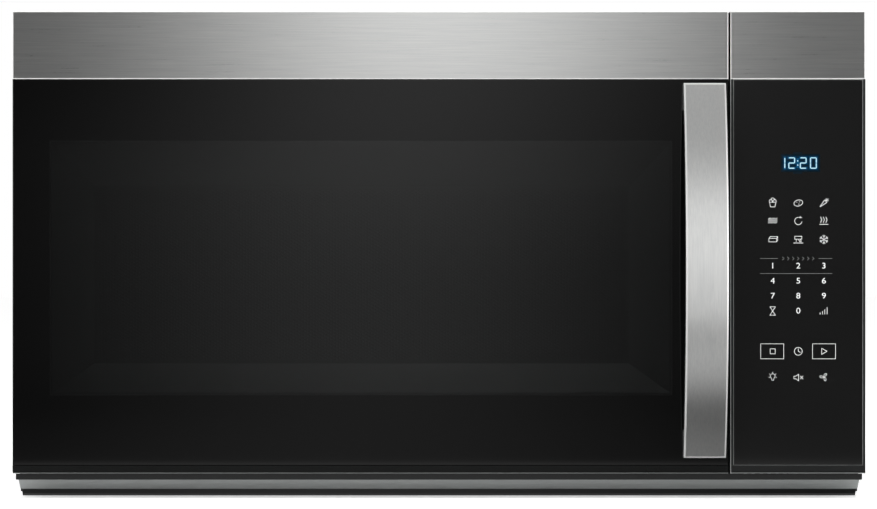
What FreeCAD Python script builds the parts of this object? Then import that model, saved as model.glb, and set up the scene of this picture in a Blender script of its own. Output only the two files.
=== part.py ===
import FreeCAD, Part

# Over the range microwave: a steel cabinet hung between wall and cupboard, with an oven
# cavity, a side-hinged door, a control panel, a vent fan and two grease filters underneath.
# Frame: +X right as seen from the front, the front faces -Y, +Z up, all in millimetres.
# Origin: bottom edge of the rear wall face, on the cabinet's middle plane.

import math
import os

import Sketcher
from FreeCAD import Placement, Rotation, Vector

SIZES = {
    # the whole appliance
    "front_wide": 759.8,  # across door and control panel
    "front_high": 434.5,  # underside of the base pan to the top of the cabinet
    "body_deep": 360.0,  # rear wall face to the front plate
    "body_inset": 1.9,  # cabinet side behind the edge of the front
    "panel_wide": 120.2,
    "door_gap": 1.9,  # between door and control panel
    "door_low": 22.9,  # height of the door's underside
    "door_thick": 36.0,
    "door_seal": 1.5,  # closed door to front plate
    "band_high": 60.3,  # stainless band along the top
    "trim_high": 7.1,  # bevelled strip along the bottom
    "steel": 1.0,  # cabinet and cavity sheet
    "fit": 0.3,  # running or assembly clearance between loose pieces
    # base pan
    "pan_flat": 349.0,  # flat part, from the wall forwards
    "lip_low": 6.6,
    "lip_top": 15.3,
    "lip_back": 355.0,  # foot of the leaning lip, from the wall
    "lip_front": 368.5,
    "apron_front": 389.0,  # upright edge of the apron over the lip, from the wall
    "apron_low": 17.0,
    "apron_gap": 0.7,  # its top below the door
    "filter_side": 35.0,  # cabinet's side to the filter's outer end
    "filter_deep": 140.0,
    "filter_thick": 8.0,
    "filter_rest": 7.0,  # overlap of the filter on its ledges
    "filter_out": 24.0,  # middle plane to the filter's inner end
    "filter_back": 66.0,  # wall to the filter's rear edge
    "lens_wide": 150.0,
    "lens_deep": 58.0,
    "lens_back": 245.0,
    # oven cavity
    "cavity_far": 64.4,  # cavity's right side to the door's right edge
    "cavity_roof": 96.5,  # cavity's ceiling to the top of the cabinet
    "cavity_deep": 340.0,
    "cavity_side": 50.4,  # cabinet's left side to the cavity
    "cavity_floor": 78.0,
    "cavity_round": 10.0,
    "plate_foot": 5.6,  # front plate above the foot of the pan's lip
    "plate_head": 0.2,  # and below the stainless band
    "plate_past": 12.0,  # front plate behind the control panel
    # door
    "glass_thick": 4.0,
    "shell_inset": 1.0,  # moulded shell behind the edge of the glass
    "shell_wall": 2.5,
    "shell_face": 3.0,
    "shell_deep": 21.5,
    "frame_inset": 13.9,  # steel choke frame from the door's left edge
    "frame_deep": 10.5,
    "frame_margin": 6.0,
    "choke_wide": 18.0,
    "choke_deep": 8.0,
    "choke_edge": 6.0,
    "cover_thick": 2.0,
    "window_left": 33.5,  # window edges from the edges of the door
    "window_right": 50.1,
    "window_low": 70.0,
    "window_top": 115.4,
    "bevel_side": 37.0,  # sloping border round the screen
    "bevel_low": 26.7,
    "bevel_top": 39.2,
    "screen_dish": 12.0,
    "screen_steel": 0.8,
    "inner_glass": 3.0,
    "pin_across": 11.9,  # hinge pin from the door's left edge
    "pin_behind": 16.5,  # hinge pin behind the face of the glass
    "pin_radius": 3.0,
    "pin_play": 0.08,
    "pin_long": 12.0,
    "bush_radius": 4.6,
    "leaf_thick": 3.0,
    "leaf_half": 6.0,
    "leaf_gap": 1.5,  # lower leaf to the underside of the door
    "leaf_drop": 10.5,  # upper leaf below the top of the cabinet
    "leaf_rear": 30.0,  # how far a leaf reaches behind the front plate
    "leaf_tab": 19.0,  # height of a leaf's welded tab
    # handle
    "handle_wide": 37.4,
    "handle_inset": 3.1,  # from the door's right edge
    "handle_rise": 7.5,  # above the bottom trim
    "handle_drop": 4.0,  # below the stainless band
    "handle_end": 12.0,  # how far it stands out at its ends
    "handle_bow": 30.5,  # and how much more at its middle
    "handle_thick": 9.0,
    "handle_foot": 24.0,
    "handle_bevel": 1.5,
    # latch
    "hook_thick": 4.0,
    "hook_high": 8.0,
    "hook_nose": 4.0,
    "hook_reach": 27.0,  # behind the front plate
    "hook_across": 20.0,  # from the door's right edge
    "hook_low": 112.0,
    "hook_gap": 190.0,
    "hook_travel": 4.5,
    # turntable
    "tray_radius": 152.5,
    "tray_thick": 5.0,
    "tray_rim": 9.0,
    "wheel_radius": 8.0,
    "wheel_thick": 5.0,
    "wheel_orbit": 104.0,
    "ring_outer": 98.0,
    "ring_inner": 91.0,
    "motor_radius": 25.0,
    "shaft_radius": 3.5,
    # vent
    "grille_side": 26.0,
    "grille_deep": 56.0,
    "grille_high": 37.0,
    "slat_pitch": 9.0,
    "slat_thick": 1.6,
    "blower_back": 72.0,
    "blower_clear": 3.8,  # scroll to the outlet plate
    "blower_radius": 37.0,
    "blower_long": 80.0,
    "blower_inner": 30.0,
    "blower_motor": 33.0,
    "blower_motor_long": 62.0,
    "scroll_gap": 4.5,
    "outlet_wide": 276.0,
    "outlet_deep": 96.0,
    # electrics bay
    "shelf_up": 61.0,
    "guide_deep": 20.0,
    "guide_long": 120.0,
    "guide_high": 90.0,
    "guide_drop": 40.0,  # below the cavity's ceiling
    "guide_back": 130.0,  # middle of the port in front of the cavity's rear
    "magnetron_long": 66.0,
    "magnetron_half": 44.0,
    "magnetron_rise": 38.0,
    "transformer_across": 92.0,  # cavity wall to the middle of the transformer
    "transformer_back": 120.0,
    "core_half": 38.0,
    "core_deep": 45.0,
    "core_high": 74.0,
    "coil_reach": 56.0,
    "capacitor_across": 60.0,
    "capacitor_back": 250.0,
    "capacitor_high": 92.0,
    "capacitor_long": 54.0,
    "capacitor_radius": 17.0,
    "diode_across": 130.0,
    "fan_radius": 48.0,
    "fan_up": 230.0,
    "fan_back": 44.0,
    # mounting
    "bolt_radius": 3.3,
    "bolt_apart": 510.0,
    "bolt_behind": 75.0,  # top bolts behind the front plate
    "tab_slot_long": 40.0,
    "tab_slot_radius": 3.0,
    "tab_slot_apart": 400.0,
    "tab_slot_up": 12.0,
    "cord_hole": 14.0,
    "cord_side": 78.0,  # cord hole from the cabinet's right side
    "cord_back": 60.0,  # and from the wall
    "intake_long": 60.0,  # cooling slots in the pan
    "intake_pitch": 5.0,
    "intake_back": 18.0,
}

doc = FreeCAD.newDocument("over_range_microwave")
sheet = doc.addObject("Spreadsheet::Sheet", "sizes")
for row, (alias, number) in enumerate(SIZES.items(), start=1):
    sheet.set(f"A{row}", alias)
    sheet.set(f"B{row}", str(number))
    sheet.setAlias(f"B{row}", alias)
doc.recompute()


class Size:
    """A length or place, kept as a number and as an expression on the sheet."""

    def __init__(self, text, number):
        self.text = text
        self.number = number

    def __add__(self, other):
        other = as_size(other)
        return Size(f"({self.text} + {other.text})", self.number + other.number)

    def __sub__(self, other):
        other = as_size(other)
        return Size(f"({self.text} - {other.text})", self.number - other.number)

    def __mul__(self, other):
        other = as_size(other)
        return Size(f"({self.text} * {other.text})", self.number * other.number)

    def __truediv__(self, other):
        other = as_size(other)
        return Size(f"({self.text} / {other.text})", self.number / other.number)

    def __neg__(self):
        return Size(f"(0 - {self.text})", -self.number)

    def __radd__(self, other):
        return as_size(other) + self

    def __rsub__(self, other):
        return as_size(other) - self

    def __rmul__(self, other):
        return as_size(other) * self


def as_size(value):
    """A plain number as a Size; a Size as it is."""
    if isinstance(value, Size):
        return value
    return Size(f"({float(value):.6f})", float(value))


class Sheet:
    """The driving sizes as attributes."""

    def __getattr__(self, alias):
        return Size(f"sizes.{alias}", SIZES[alias])


s = Sheet()
pieces = {}


def piece(node, solid):
    """Names a finished sub-part."""
    solid.Label = node
    pieces[node] = solid
    return solid


def bind(thing, prop, value):
    """Ties one property to the sheet."""
    thing.setExpression(prop, as_size(value).text)


def middle(span):
    """The place halfway between two others."""
    return (as_size(span[0]) + span[1]) / 2


# ---- primitives and booleans -------------------------------------------------------------

TURN = {
    "x": Rotation(Vector(0, 1, 0), 90),
    "y": Rotation(Vector(1, 0, 0), -90),
    "z": Rotation(),
}


def box(x, y, z, name="block"):
    """A block between two places on each axis, each pair given low to high."""
    block = doc.addObject("Part::Box", name)
    for prop, edge, span in (("Length", "x", x), ("Width", "y", y), ("Height", "z", z)):
        bind(block, prop, as_size(span[1]) - span[0])
        bind(block, f"Placement.Base.{edge}", span[0])
    return block


def rod(axis, centre, radius, span, name="round"):
    """A round bar along an axis: centre on the two other axes, radius and both ends."""
    bar = doc.addObject("Part::Cylinder", name)
    bar.Placement = Placement(Vector(), TURN[axis])
    bind(bar, "Radius", radius)
    bind(bar, "Height", as_size(span[1]) - span[0])
    bind(bar, f"Placement.Base.{axis}", span[0])
    for other, place in zip([a for a in "xyz" if a != axis], centre):
        bind(bar, f"Placement.Base.{other}", place)
    return bar


def fuse(*solids, name="joined"):
    """Several solids as one."""
    whole = doc.addObject("Part::MultiFuse", name)
    whole.Shapes = list(solids)
    return whole


def group(*solids, name="group"):
    """Like pieces that share a node, left as separate solids."""
    whole = doc.addObject("Part::Compound", name)
    whole.Links = list(solids)
    return whole


def cut(base, *tools, name="cut"):
    """A solid less one or more others."""
    rest = doc.addObject("Part::Cut", name)
    rest.Base = base
    rest.Tool = tools[0] if len(tools) == 1 else fuse(*tools)
    return rest


def ring(axis, centre, outer, inner, span, name="ring"):
    """A round bar with a bore."""
    reach = (as_size(span[0]) - 1, as_size(span[1]) + 1)
    return cut(rod(axis, centre, outer, span), rod(axis, centre, inner, reach), name=name)


# ---- sketched bodies ---------------------------------------------------------------------

# each plane's low side is where its sketch lies and its pads start, except on XZ, whose
# normal points to -Y, so that there the sketch lies on the high side
NORMAL = {"XY": 1, "YZ": 1, "XZ": -1}


def rect(a, b):
    """A rectangular loop between two places on each sketch axis."""
    return [(a[0], b[0]), (a[1], b[0]), (a[1], b[1]), (a[0], b[1])]


def inset(a, b, margin):
    """A rectangular loop inside the one between two places on each sketch axis."""
    return rect((a[0] + margin, a[1] - margin), (b[0] + margin, b[1] - margin))


def circle(u, v, radius):
    """A round loop."""
    return ("circle", u, v, radius)


def slot(u, v, long, radius):
    """A slot with round ends along the sketch's first axis."""
    reach = as_size(long) / 2 - radius
    return [
        (u - reach, v - radius),
        (u + reach, v - radius),
        (u + reach, v + radius, (u + reach, v), 1),
        (u - reach, v + radius),
        (u - reach, v - radius, (u - reach, v), 1),
    ]


def arc_between(start, end, centre, turn):
    """An arc round a centre; turn is 1 counter-clockwise and -1 clockwise."""
    spoke = start - centre
    sweep = math.atan2(end.y - centre.y, end.x - centre.x) - math.atan2(spoke.y, spoke.x)
    sweep = (sweep * turn) % (2 * math.pi)
    lean = math.atan2(spoke.y, spoke.x) + turn * sweep / 2
    mid = centre + Vector(math.cos(lean), math.sin(lean), 0) * spoke.Length
    return Part.Arc(start, mid, end)


def hold(drawing, kind, edge, end, value):
    """Holds one coordinate of a sketch point at a place."""
    rule = Sketcher.Constraint(kind, -1, 1, edge, end, value.number)
    held = drawing.addConstraint(rule)
    drawing.setExpression(f"Constraints[{held}]", value.text)


def add_circle(drawing, loop):
    """One circle held by its centre and radius."""
    _, u, v, radius = loop
    u, v, radius = as_size(u), as_size(v), as_size(radius)
    round_edge = Part.Circle(Vector(u.number, v.number, 0), Vector(0, 0, 1), radius.number)
    edge = drawing.addGeometry(round_edge)
    hold(drawing, "DistanceX", edge, 3, u)
    hold(drawing, "DistanceY", edge, 3, v)
    held = drawing.addConstraint(Sketcher.Constraint("Radius", edge, radius.number))
    drawing.setExpression(f"Constraints[{held}]", radius.text)


def add_outline(drawing, points):
    """A closed outline. A point (u, v, centre, turn) is reached by an arc.

    A last point that repeats the first closes the outline with that arc.
    """
    corners = [tuple(as_size(value) for value in point[:2]) for point in points]
    arcs = {i: point[2:] for i, point in enumerate(points) if len(point) > 2}
    spots = [Vector(u.number, v.number, 0) for u, v in corners]
    if len(points) - 1 in arcs and spots[0].distanceToPoint(spots[-1]) < 1e-6:
        arcs[0] = arcs.pop(len(points) - 1)
        corners.pop()
        spots.pop()
    count = len(corners)
    edges = []
    for i in range(count):
        j = (i + 1) % count
        if j not in arcs:
            edges.append((drawing.addGeometry(Part.LineSegment(spots[i], spots[j])), (1, 2)))
            continue
        centre, turn = arcs[j]
        centre = [as_size(value) for value in centre]
        middle_spot = Vector(centre[0].number, centre[1].number, 0)
        edge = drawing.addGeometry(arc_between(spots[i], spots[j], middle_spot, turn))
        chord = spots[j] - spots[i]
        if abs(chord.y) >= abs(chord.x):
            hold(drawing, "DistanceX", edge, 3, centre[0])
        else:
            hold(drawing, "DistanceY", edge, 3, centre[1])
        edges.append((edge, (1, 2) if turn > 0 else (2, 1)))
    for i, (edge, ends) in enumerate(edges):
        after, after_ends = edges[(i + 1) % count]
        joint = Sketcher.Constraint("Coincident", edge, ends[1], after, after_ends[0])
        drawing.addConstraint(joint)
        for kind, value in zip(("DistanceX", "DistanceY"), corners[i]):
            hold(drawing, kind, edge, ends[0], value)


def draw(body, plane, at, loops):
    """A sketch on one of the body's own planes, moved along its normal to a place."""
    drawing = body.newObject("Sketcher::SketchObject", "sketch")
    own = {part.Role: part for part in body.Origin.OriginFeatures}
    drawing.AttachmentSupport = [(own[f"{plane}_Plane"], "")]
    drawing.MapMode = "FlatFace"
    bind(drawing, "AttachmentOffset.Base.z", as_size(at) * NORMAL[plane])
    for loop in loops:
        if loop[0] == "circle":
            add_circle(drawing, loop)
        else:
            add_outline(drawing, loop)
    return drawing


def extrude(body, kind, plane, span, loops):
    """A pad or pocket between two places on the axis square to the sketch."""
    start = span[0] if NORMAL[plane] > 0 else span[1]
    drawing = draw(body, plane, start, loops)
    feature = body.newObject(f"PartDesign::{kind}", kind.lower())
    feature.Profile = drawing
    feature.Reversed = kind == "Pocket"
    bind(feature, "Length", as_size(span[1]) - span[0])
    return feature


def pad(body, plane, span, *loops):
    """Material between two places."""
    return extrude(body, "Pad", plane, span, loops)


def pocket(body, plane, span, *loops):
    """An opening between two places."""
    return extrude(body, "Pocket", plane, span, loops)


def loft(body, kind, plane, sections):
    """A solid or a hollow that runs from one sketched section to the next."""
    drawings = [draw(body, plane, at, [loop]) for at, loop in sections]
    feature = body.newObject(f"PartDesign::{kind}Loft", "loft")
    feature.Profile = drawings[0]
    feature.Sections = drawings[1:]
    feature.Ruled = True
    return feature


def new_body(name):
    """An empty body."""
    return doc.addObject("PartDesign::Body", name)


def soften(body, kind, amount, choose):
    """Rounds (Fillet) or bevels (Chamfer) the edges that a test picks."""
    doc.recompute()
    base = body.Tip
    names = [f"Edge{i}" for i, edge in enumerate(base.Shape.Edges, 1) if choose(edge)]
    feature = body.newObject(f"PartDesign::{kind}", kind.lower())
    feature.Base = (base, names)
    bind(feature, "Radius" if kind == "Fillet" else "Size", amount)
    return feature


def runs_along(edge, axis):
    """Whether a straight edge runs along an axis."""
    if not isinstance(edge.Curve, Part.Line):
        return False
    direction = edge.Curve.Direction
    return abs(getattr(direction, axis)) > 0.999


def near(value, place):
    """Whether a number is at a place."""
    return abs(value - as_size(place).number) < 0.05


# ---- main places -------------------------------------------------------------------------

left = -s.front_wide / 2
right = s.front_wide / 2
top = s.front_high
body_left = left + s.body_inset
body_right = right - s.body_inset
inside_left = body_left + s.steel
inside_right = body_right - s.steel
panel_left = right - s.panel_wide
door_right = panel_left - s.door_gap
plate_y = -s.body_deep
door_back = plate_y - s.door_seal
door_front = door_back - s.door_thick
glass_back = door_front + s.glass_thick
band_low = top - s.band_high
trim_top = s.door_low + s.trim_high
cavity_left = body_left + s.cavity_side
cavity_right = door_right - s.cavity_far
cavity_top = top - s.cavity_roof
cavity_rear = plate_y + s.cavity_deep
wall_right = cavity_right + s.steel
table_x = (cavity_left + cavity_right) / 2
table_y = (plate_y + cavity_rear) / 2
pin_x = left + s.pin_across
pin_y = door_front + s.pin_behind
leaf_low = s.door_low - s.leaf_gap - s.leaf_thick
leaf_top = top - s.leaf_drop
plate_low = s.lip_low + s.plate_foot
plate_top = band_low - s.plate_head
handle_low = trim_top + s.handle_rise
handle_high = band_low - s.handle_drop
plate_gap = 0.2
plate_under = top - 2 * s.steel - plate_gap
blower_z = plate_under - s.blower_clear - s.blower_radius - s.scroll_gap
cord_x = body_right - s.cord_side
cord_y = -s.cord_back
bolt_y = plate_y + s.bolt_behind


# ---- cabinet -----------------------------------------------------------------------------

def outer_wrap():
    """Top and both sides, folded from one sheet; open at the front top for the grille."""
    body = new_body("outer_wrap")
    foot = as_size(4.0)
    outline = [
        (body_left, foot),
        (inside_left, foot),
        (inside_left, top - s.steel),
        (inside_right, top - s.steel),
        (inside_right, foot),
        (body_right, foot),
        (body_right, top),
        (body_left, top),
    ]
    pad(body, "XZ", (plate_y, 0), outline)

    def corner(edge):
        high = edge.BoundBox.ZMin > top.number - s.steel.number - 0.05
        return runs_along(edge, "y") and high

    soften(body, "Fillet", 0.8, corner)
    lean = (s.lip_top - s.lip_low) / (s.lip_front - s.lip_back)
    clear_y = -s.lip_back + 2 * s.steel
    clear_z = s.lip_low + s.steel
    past = plate_y - 1.0
    over_lip = [
        (clear_y, foot - 1.0),
        (clear_y, clear_z),
        (past, clear_z + lean * (clear_y - past)),
        (past, foot - 1.0),
    ]
    pocket(body, "YZ", (body_left - 1.0, body_right + 1.0), over_lip)
    through = (top - 2 * s.steel, top + 1)
    grille = rect(
        (body_left + s.grille_side, body_right - s.grille_side),
        (plate_y - 1, plate_y + s.grille_deep),
    )
    outlet_rear = -s.blower_back + s.outlet_deep / 2
    outlet = rect(
        (-s.outlet_wide / 2, s.outlet_wide / 2),
        (outlet_rear - s.outlet_deep, outlet_rear),
    )
    holes = [
        circle(cord_x, cord_y, s.cord_hole),
        circle(-s.bolt_apart / 2, bolt_y, s.bolt_radius),
        circle(s.bolt_apart / 2, bolt_y, s.bolt_radius),
    ]
    pocket(body, "XY", through, grille, outlet, *holes)
    return piece("outer_wrap", body)


def rear_panel():
    """Flat rear wall with folded side flanges, the two slots that hook on the wall plate's
    tabs and the stamped outline of the rear exhaust knock-out."""
    body = new_body("rear_panel")
    low = as_size(0.0)
    high = top - s.steel - s.fit
    side_left = inside_left + s.fit
    side_right = inside_right - s.fit
    pad(body, "XZ", (-s.steel, 0), rect((side_left, side_right), (low, high)))
    flange = 12.0
    tall = (s.steel + s.fit, high)
    pad(
        body,
        "XZ",
        (-flange, -s.steel / 2),
        rect((side_left, side_left + s.steel), tall),
        rect((side_right - s.steel, side_right), tall),
    )
    slots = [
        slot(side * s.tab_slot_apart / 2, s.tab_slot_up, s.tab_slot_long, s.tab_slot_radius)
        for side in (-1, 1)
    ]
    pocket(body, "XZ", (-2 * s.steel, s.steel), *slots)
    half = s.outlet_wide / 2
    knock = (blower_z - 36.0, blower_z + 30.0)
    groove = 3.0
    outline = rect((-half, half), knock)
    inner = rect((-half + groove, half - groove), (knock[0] + groove, knock[1] - groove))
    pocket(body, "XZ", (-s.steel * 0.4, s.steel), outline, inner)
    return piece("rear_panel", body)


def filter_places():
    """Each filter's node, its inner and outer end across, and which side it is on."""
    inner, outer = s.filter_out, inside_right - s.filter_side
    return [
        ("grease_filter_left", (-outer, -inner)),
        ("grease_filter_right", (inner, outer)),
    ]


filter_rear = -s.filter_back
filter_front = filter_rear - s.filter_deep
lens_y = (-s.lens_back - s.lens_deep, -s.lens_back)
lens_x = (-s.lens_wide / 2, s.lens_wide / 2)
lens_ledge = 9.0
lens_screws = (lens_y[0] + lens_ledge / 2, lens_y[1] - lens_ledge / 2)
screw_head = 3.4


def base_pan():
    """Painted steel pan: flat underside, a step up, the leaning front lip and the apron
    over it, as wide as the cabinet, that closes the gap under the door. Windows for the
    two grease filters and the lamp lens."""
    body = new_body("base_pan")
    thick = s.steel
    rear = -s.steel - s.fit
    apron_top = s.door_low - s.apron_gap
    lip = [
        (-s.lip_back + 0.65 * thick, s.lip_low + 0.77 * thick),
        (-s.lip_front + 0.32 * thick, s.lip_top + 0.98 * thick),
        (-s.apron_front + thick, s.apron_low + 0.92 * thick),
        (-s.apron_front + thick, apron_top),
        (-s.apron_front, apron_top),
        (-s.apron_front, s.apron_low),
        (-s.lip_front, s.lip_top),
        (-s.lip_back, s.lip_low),
    ]
    flat = [(-s.pan_flat, 0), (rear, 0), (rear, thick), (-s.pan_flat + 0.4 * thick, thick)]
    edge_left = inside_left + s.fit
    edge_right = inside_right - s.fit
    pad(body, "YZ", (edge_left, edge_right), flat + lip)
    pad(body, "YZ", (body_left, body_right), lip)
    flange = 14.0
    for side in ((edge_left, edge_left + thick), (edge_right - thick, edge_right)):
        run = (-s.pan_flat + 4.0, -s.steel - 13.0)
        pad(body, "XY", (thick / 2, flange), rect(side, run))
    windows = []
    for _, ends in filter_places():
        x = (ends[0] - s.fit, ends[1] + s.fit)
        y = (filter_front + s.filter_rest, filter_rear - s.filter_rest)
        windows.append(rect(x, y))
    windows.append(
        rect(
            (lens_x[0] + lens_ledge, lens_x[1] - lens_ledge),
            (lens_y[0] + lens_ledge, lens_y[1] - lens_ledge),
        )
    )
    heads = [circle(middle(lens_x), at_y, screw_head + 0.3) for at_y in lens_screws]
    through = (-thick, 3 * thick)
    pocket(body, "XY", through, *windows, *heads)
    intake_count = 8
    intake_x = edge_right - s.intake_long
    intakes = [
        slot(intake_x, -s.intake_back - i * s.intake_pitch, s.intake_long, 1.2)
        for i in range(intake_count)
    ]
    pocket(body, "XY", through, *intakes)
    return piece("base_pan", body)


def component_shelf():
    """Folded steel shelf that carries the electrics, right of the cavity."""
    body = new_body("component_shelf")
    across = (wall_right + s.fit, inside_right - s.fit)
    along = (plate_y + 14.0, -s.steel - s.fit - 12.0)
    level = (s.shelf_up - s.steel, s.shelf_up)
    pad(body, "XY", level, rect(across, along))
    leg = (s.steel + 14.0 + s.fit, s.shelf_up - s.steel / 2)
    pad(body, "XY", leg, rect((across[1] - s.steel, across[1]), along))
    wire_hole = circle(across[1] - 40.0, along[0] + 60.0, 16.0)
    pocket(body, "XY", (level[0] - 1, level[1] + 1), wire_hole)
    return piece("component_shelf", body)


def cord_bushing():
    """Rubber bushing in the cabinet top for the supply cord."""
    neck = ring("z", (cord_x, cord_y), s.cord_hole - s.fit, 5.0, (top - 5.0, top))
    rim = ring("z", (cord_x, cord_y), s.cord_hole + 3.0, 5.0, (top - 5.0, top - s.steel - 0.1))
    return piece("cord_bushing", fuse(neck, rim))


def cabinet_screws():
    """Pan-head screws that hold the lamp's lens, their heads flush in the pan."""
    screws = []
    for at_y in lens_screws:
        stem = rod("z", (middle(lens_x), at_y), 1.6, (s.steel / 2, s.steel + 2.4))
        head = rod("z", (middle(lens_x), at_y), screw_head, (0.05, s.steel - 0.05))
        screws.append(fuse(stem, head))
    return piece("cabinet_screws", group(*screws))


# ---- oven cavity -------------------------------------------------------------------------

magnetron_y = cavity_rear - s.guide_back
port_y = (magnetron_y - s.guide_long / 2, magnetron_y + s.guide_long / 2)
port_z = (cavity_top - s.guide_drop - s.guide_high, cavity_top - s.guide_drop)
magnetron_z = middle(port_z)
lamp_y = plate_y + 60.0
lamp_z = cavity_top - 60.0


def hook_places():
    """The underside of each latch hook, lower first."""
    return [s.hook_low, s.hook_low + s.hook_gap]


hook_x = (door_right - s.hook_across - s.hook_thick, door_right - s.hook_across)
hole_pitch = 7.0
hole_radius = 2.0


def cavity():
    """Welded oven box with its front plate: rounded corners, waveguide port, lamp and air
    perforations, the turntable shaft hole, and the slots for the door's latch hooks."""
    body = new_body("cavity")
    outer_x = (cavity_left - s.steel, wall_right)
    outer_z = (s.cavity_floor - s.steel, cavity_top + s.steel)
    inner = rect((cavity_left, cavity_right), (s.cavity_floor, cavity_top))
    outer = rect(outer_x, outer_z)
    pad(body, "XZ", (plate_y + s.steel / 2, cavity_rear), outer, inner)

    def lengthwise(edge):
        return runs_along(edge, "y")

    soften(body, "Fillet", s.cavity_round, lengthwise)
    pad(body, "XZ", (cavity_rear - s.steel / 2, cavity_rear + s.steel / 2), outer)
    plate_left = inside_left + s.fit
    plate_right = panel_left + s.plate_past
    notch_x = pin_x + s.leaf_half + 1.0
    notch_z = leaf_low + s.leaf_thick + 2 * s.fit
    outline = [
        (notch_x, plate_low),
        (plate_right, plate_low),
        (plate_right, plate_top),
        (plate_left, plate_top),
        (plate_left, notch_z),
        (notch_x, notch_z),
    ]
    pad(body, "XZ", (plate_y, plate_y + s.steel), outline, inner)
    slots = []
    for low in hook_places():
        wide = (hook_x[0] - 2.0, hook_x[1] + 3.5)
        tall = (low - s.hook_nose - 1.0, low + s.hook_high + s.hook_travel + 1.0)
        slots.append(rect(wide, tall))
    pocket(body, "XZ", (plate_y - 1, plate_y + 2 * s.steel), *slots)
    through = (cavity_right - s.steel, wall_right + s.steel)
    port = rect((port_y[0] + 18.0, port_y[1] - 18.0), (port_z[0] + 14.0, port_z[1] - 14.0))
    pocket(body, "YZ", through, port)
    lamp = [
        circle(lamp_y + hole_pitch * (i % 4), lamp_z + hole_pitch * (i // 4), hole_radius)
        for i in range(12)
    ]
    pocket(body, "YZ", through, *lamp)
    vent_y = cavity_rear - 60.0
    vent_z = cavity_top - 40.0
    vents = [
        circle(vent_y - hole_pitch * (i % 6), vent_z - hole_pitch * (i // 6), hole_radius)
        for i in range(18)
    ]
    pocket(body, "YZ", (cavity_left - 2 * s.steel, cavity_left + s.steel), *vents)
    floor = (s.cavity_floor - 2 * s.steel, s.cavity_floor + s.steel)
    pocket(body, "XY", floor, circle(table_x, table_y, s.shaft_radius + 4.0))
    return piece("cavity", body)


def mica_cover():
    """Mica sheet over the waveguide port, inside the cavity."""
    thick, gap, inset = 0.8, 0.2, 6.0
    across = (cavity_right - thick - gap, cavity_right - gap)
    along = (port_y[0] + inset, port_y[1] - inset)
    return piece("mica_cover", box(across, along, (port_z[0] + inset, port_z[1] - inset)))


def waveguide():
    """Folded channel that carries the microwaves from the magnetron to the port."""
    body = new_body("waveguide")
    start = wall_right
    end = start + s.guide_deep
    pad(body, "YZ", (start, end), rect(port_y, port_z))
    hollow = rect(
        (port_y[0] + s.steel, port_y[1] - s.steel),
        (port_z[0] + s.steel, port_z[1] - s.steel),
    )
    pocket(body, "YZ", (start - 1, end - s.steel), hollow)
    pocket(body, "YZ", (end - 2 * s.steel, end + 1), circle(magnetron_y, magnetron_z, 12.0))
    return piece("waveguide", body)


def magnetron():
    """Magnetron: anode barrel in a steel yoke between ring magnets, with pressed cooling
    fins, filter box and the antenna dome in the waveguide."""
    yoke_start = wall_right + s.guide_deep
    yoke_end = yoke_start + s.magnetron_long
    across = (magnetron_y - s.magnetron_half, magnetron_y + s.magnetron_half)
    tall = (magnetron_z - s.magnetron_rise, magnetron_z + s.magnetron_rise)
    centre = (magnetron_y, magnetron_z)
    parts = [
        rod("x", centre, 8.0, (yoke_start - s.guide_deep * 0.7, yoke_start + 2.0)),
        rod("x", centre, 19.0, (yoke_start, yoke_end)),
        box((yoke_start, yoke_start + 1.5), across, tall),
        box((yoke_end - 1.5, yoke_end), across, tall),
        box((yoke_start, yoke_end), across, (tall[0], tall[0] + 1.5)),
        box((yoke_start, yoke_end), across, (tall[1] - 1.5, tall[1])),
    ]
    for start in (yoke_start + 1.0, yoke_end - 12.0):
        parts.append(rod("x", centre, 28.0, (start, start + 11.0)))
    fin_count = 7
    for i in range(fin_count):
        start = yoke_start + 16.0 + 5.2 * i
        fin_y = (across[0] + 4.0, across[1] - 4.0)
        parts.append(box((start, start + 0.8), fin_y, (tall[0] + 1.0, tall[1] - 1.0)))
    filter_y = (magnetron_y - 26.0, magnetron_y + 26.0)
    filter_z = (magnetron_z - 22.0, magnetron_z + 22.0)
    parts.append(box((yoke_end - 0.5, yoke_end + 26.0), filter_y, filter_z))
    return piece("magnetron", fuse(*parts))


transformer_x = wall_right + s.transformer_across
transformer_y = -s.transformer_back


def hv_transformer():
    """Laminated transformer: two windings through the windows of an E-and-I core."""
    up = s.shelf_up
    x, y = transformer_x, transformer_y
    leg = 14.0
    yoke = 12.0
    core = box(
        (x - s.core_half, x + s.core_half),
        (y - s.core_deep, y + s.core_deep),
        (up, up + s.core_high),
    )
    window_x = (x - s.core_half - 2.0, x + s.core_half + 2.0)
    window_z = (up + yoke, up + s.core_high - yoke)
    reach = s.core_deep - yoke + 1.0
    windows = [
        box(window_x, (y - reach, y - leg), window_z),
        box(window_x, (y + leg, y + reach), window_z),
    ]
    coils = []
    for low, high in ((yoke + 1.0, yoke + 22.0), (yoke + 27.0, s.core_high - yoke - 1.0)):
        winding = cut(
            box(
                (x - s.coil_reach, x + s.coil_reach),
                (y - reach + 1.0, y + reach - 1.0),
                (up + low, up + high),
            ),
            box(
                (x - s.core_half, x + s.core_half),
                (y - leg, y + leg),
                (up + low - 1.0, up + high + 1.0),
            ),
        )
        coils.append(winding)
    foot_half = s.core_half + 12.0
    foot = box((x - foot_half, x + foot_half), (y - s.core_deep, y + s.core_deep), (up, up + 2.0))
    return piece("hv_transformer", fuse(cut(core, *windows), foot, *coils))


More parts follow.
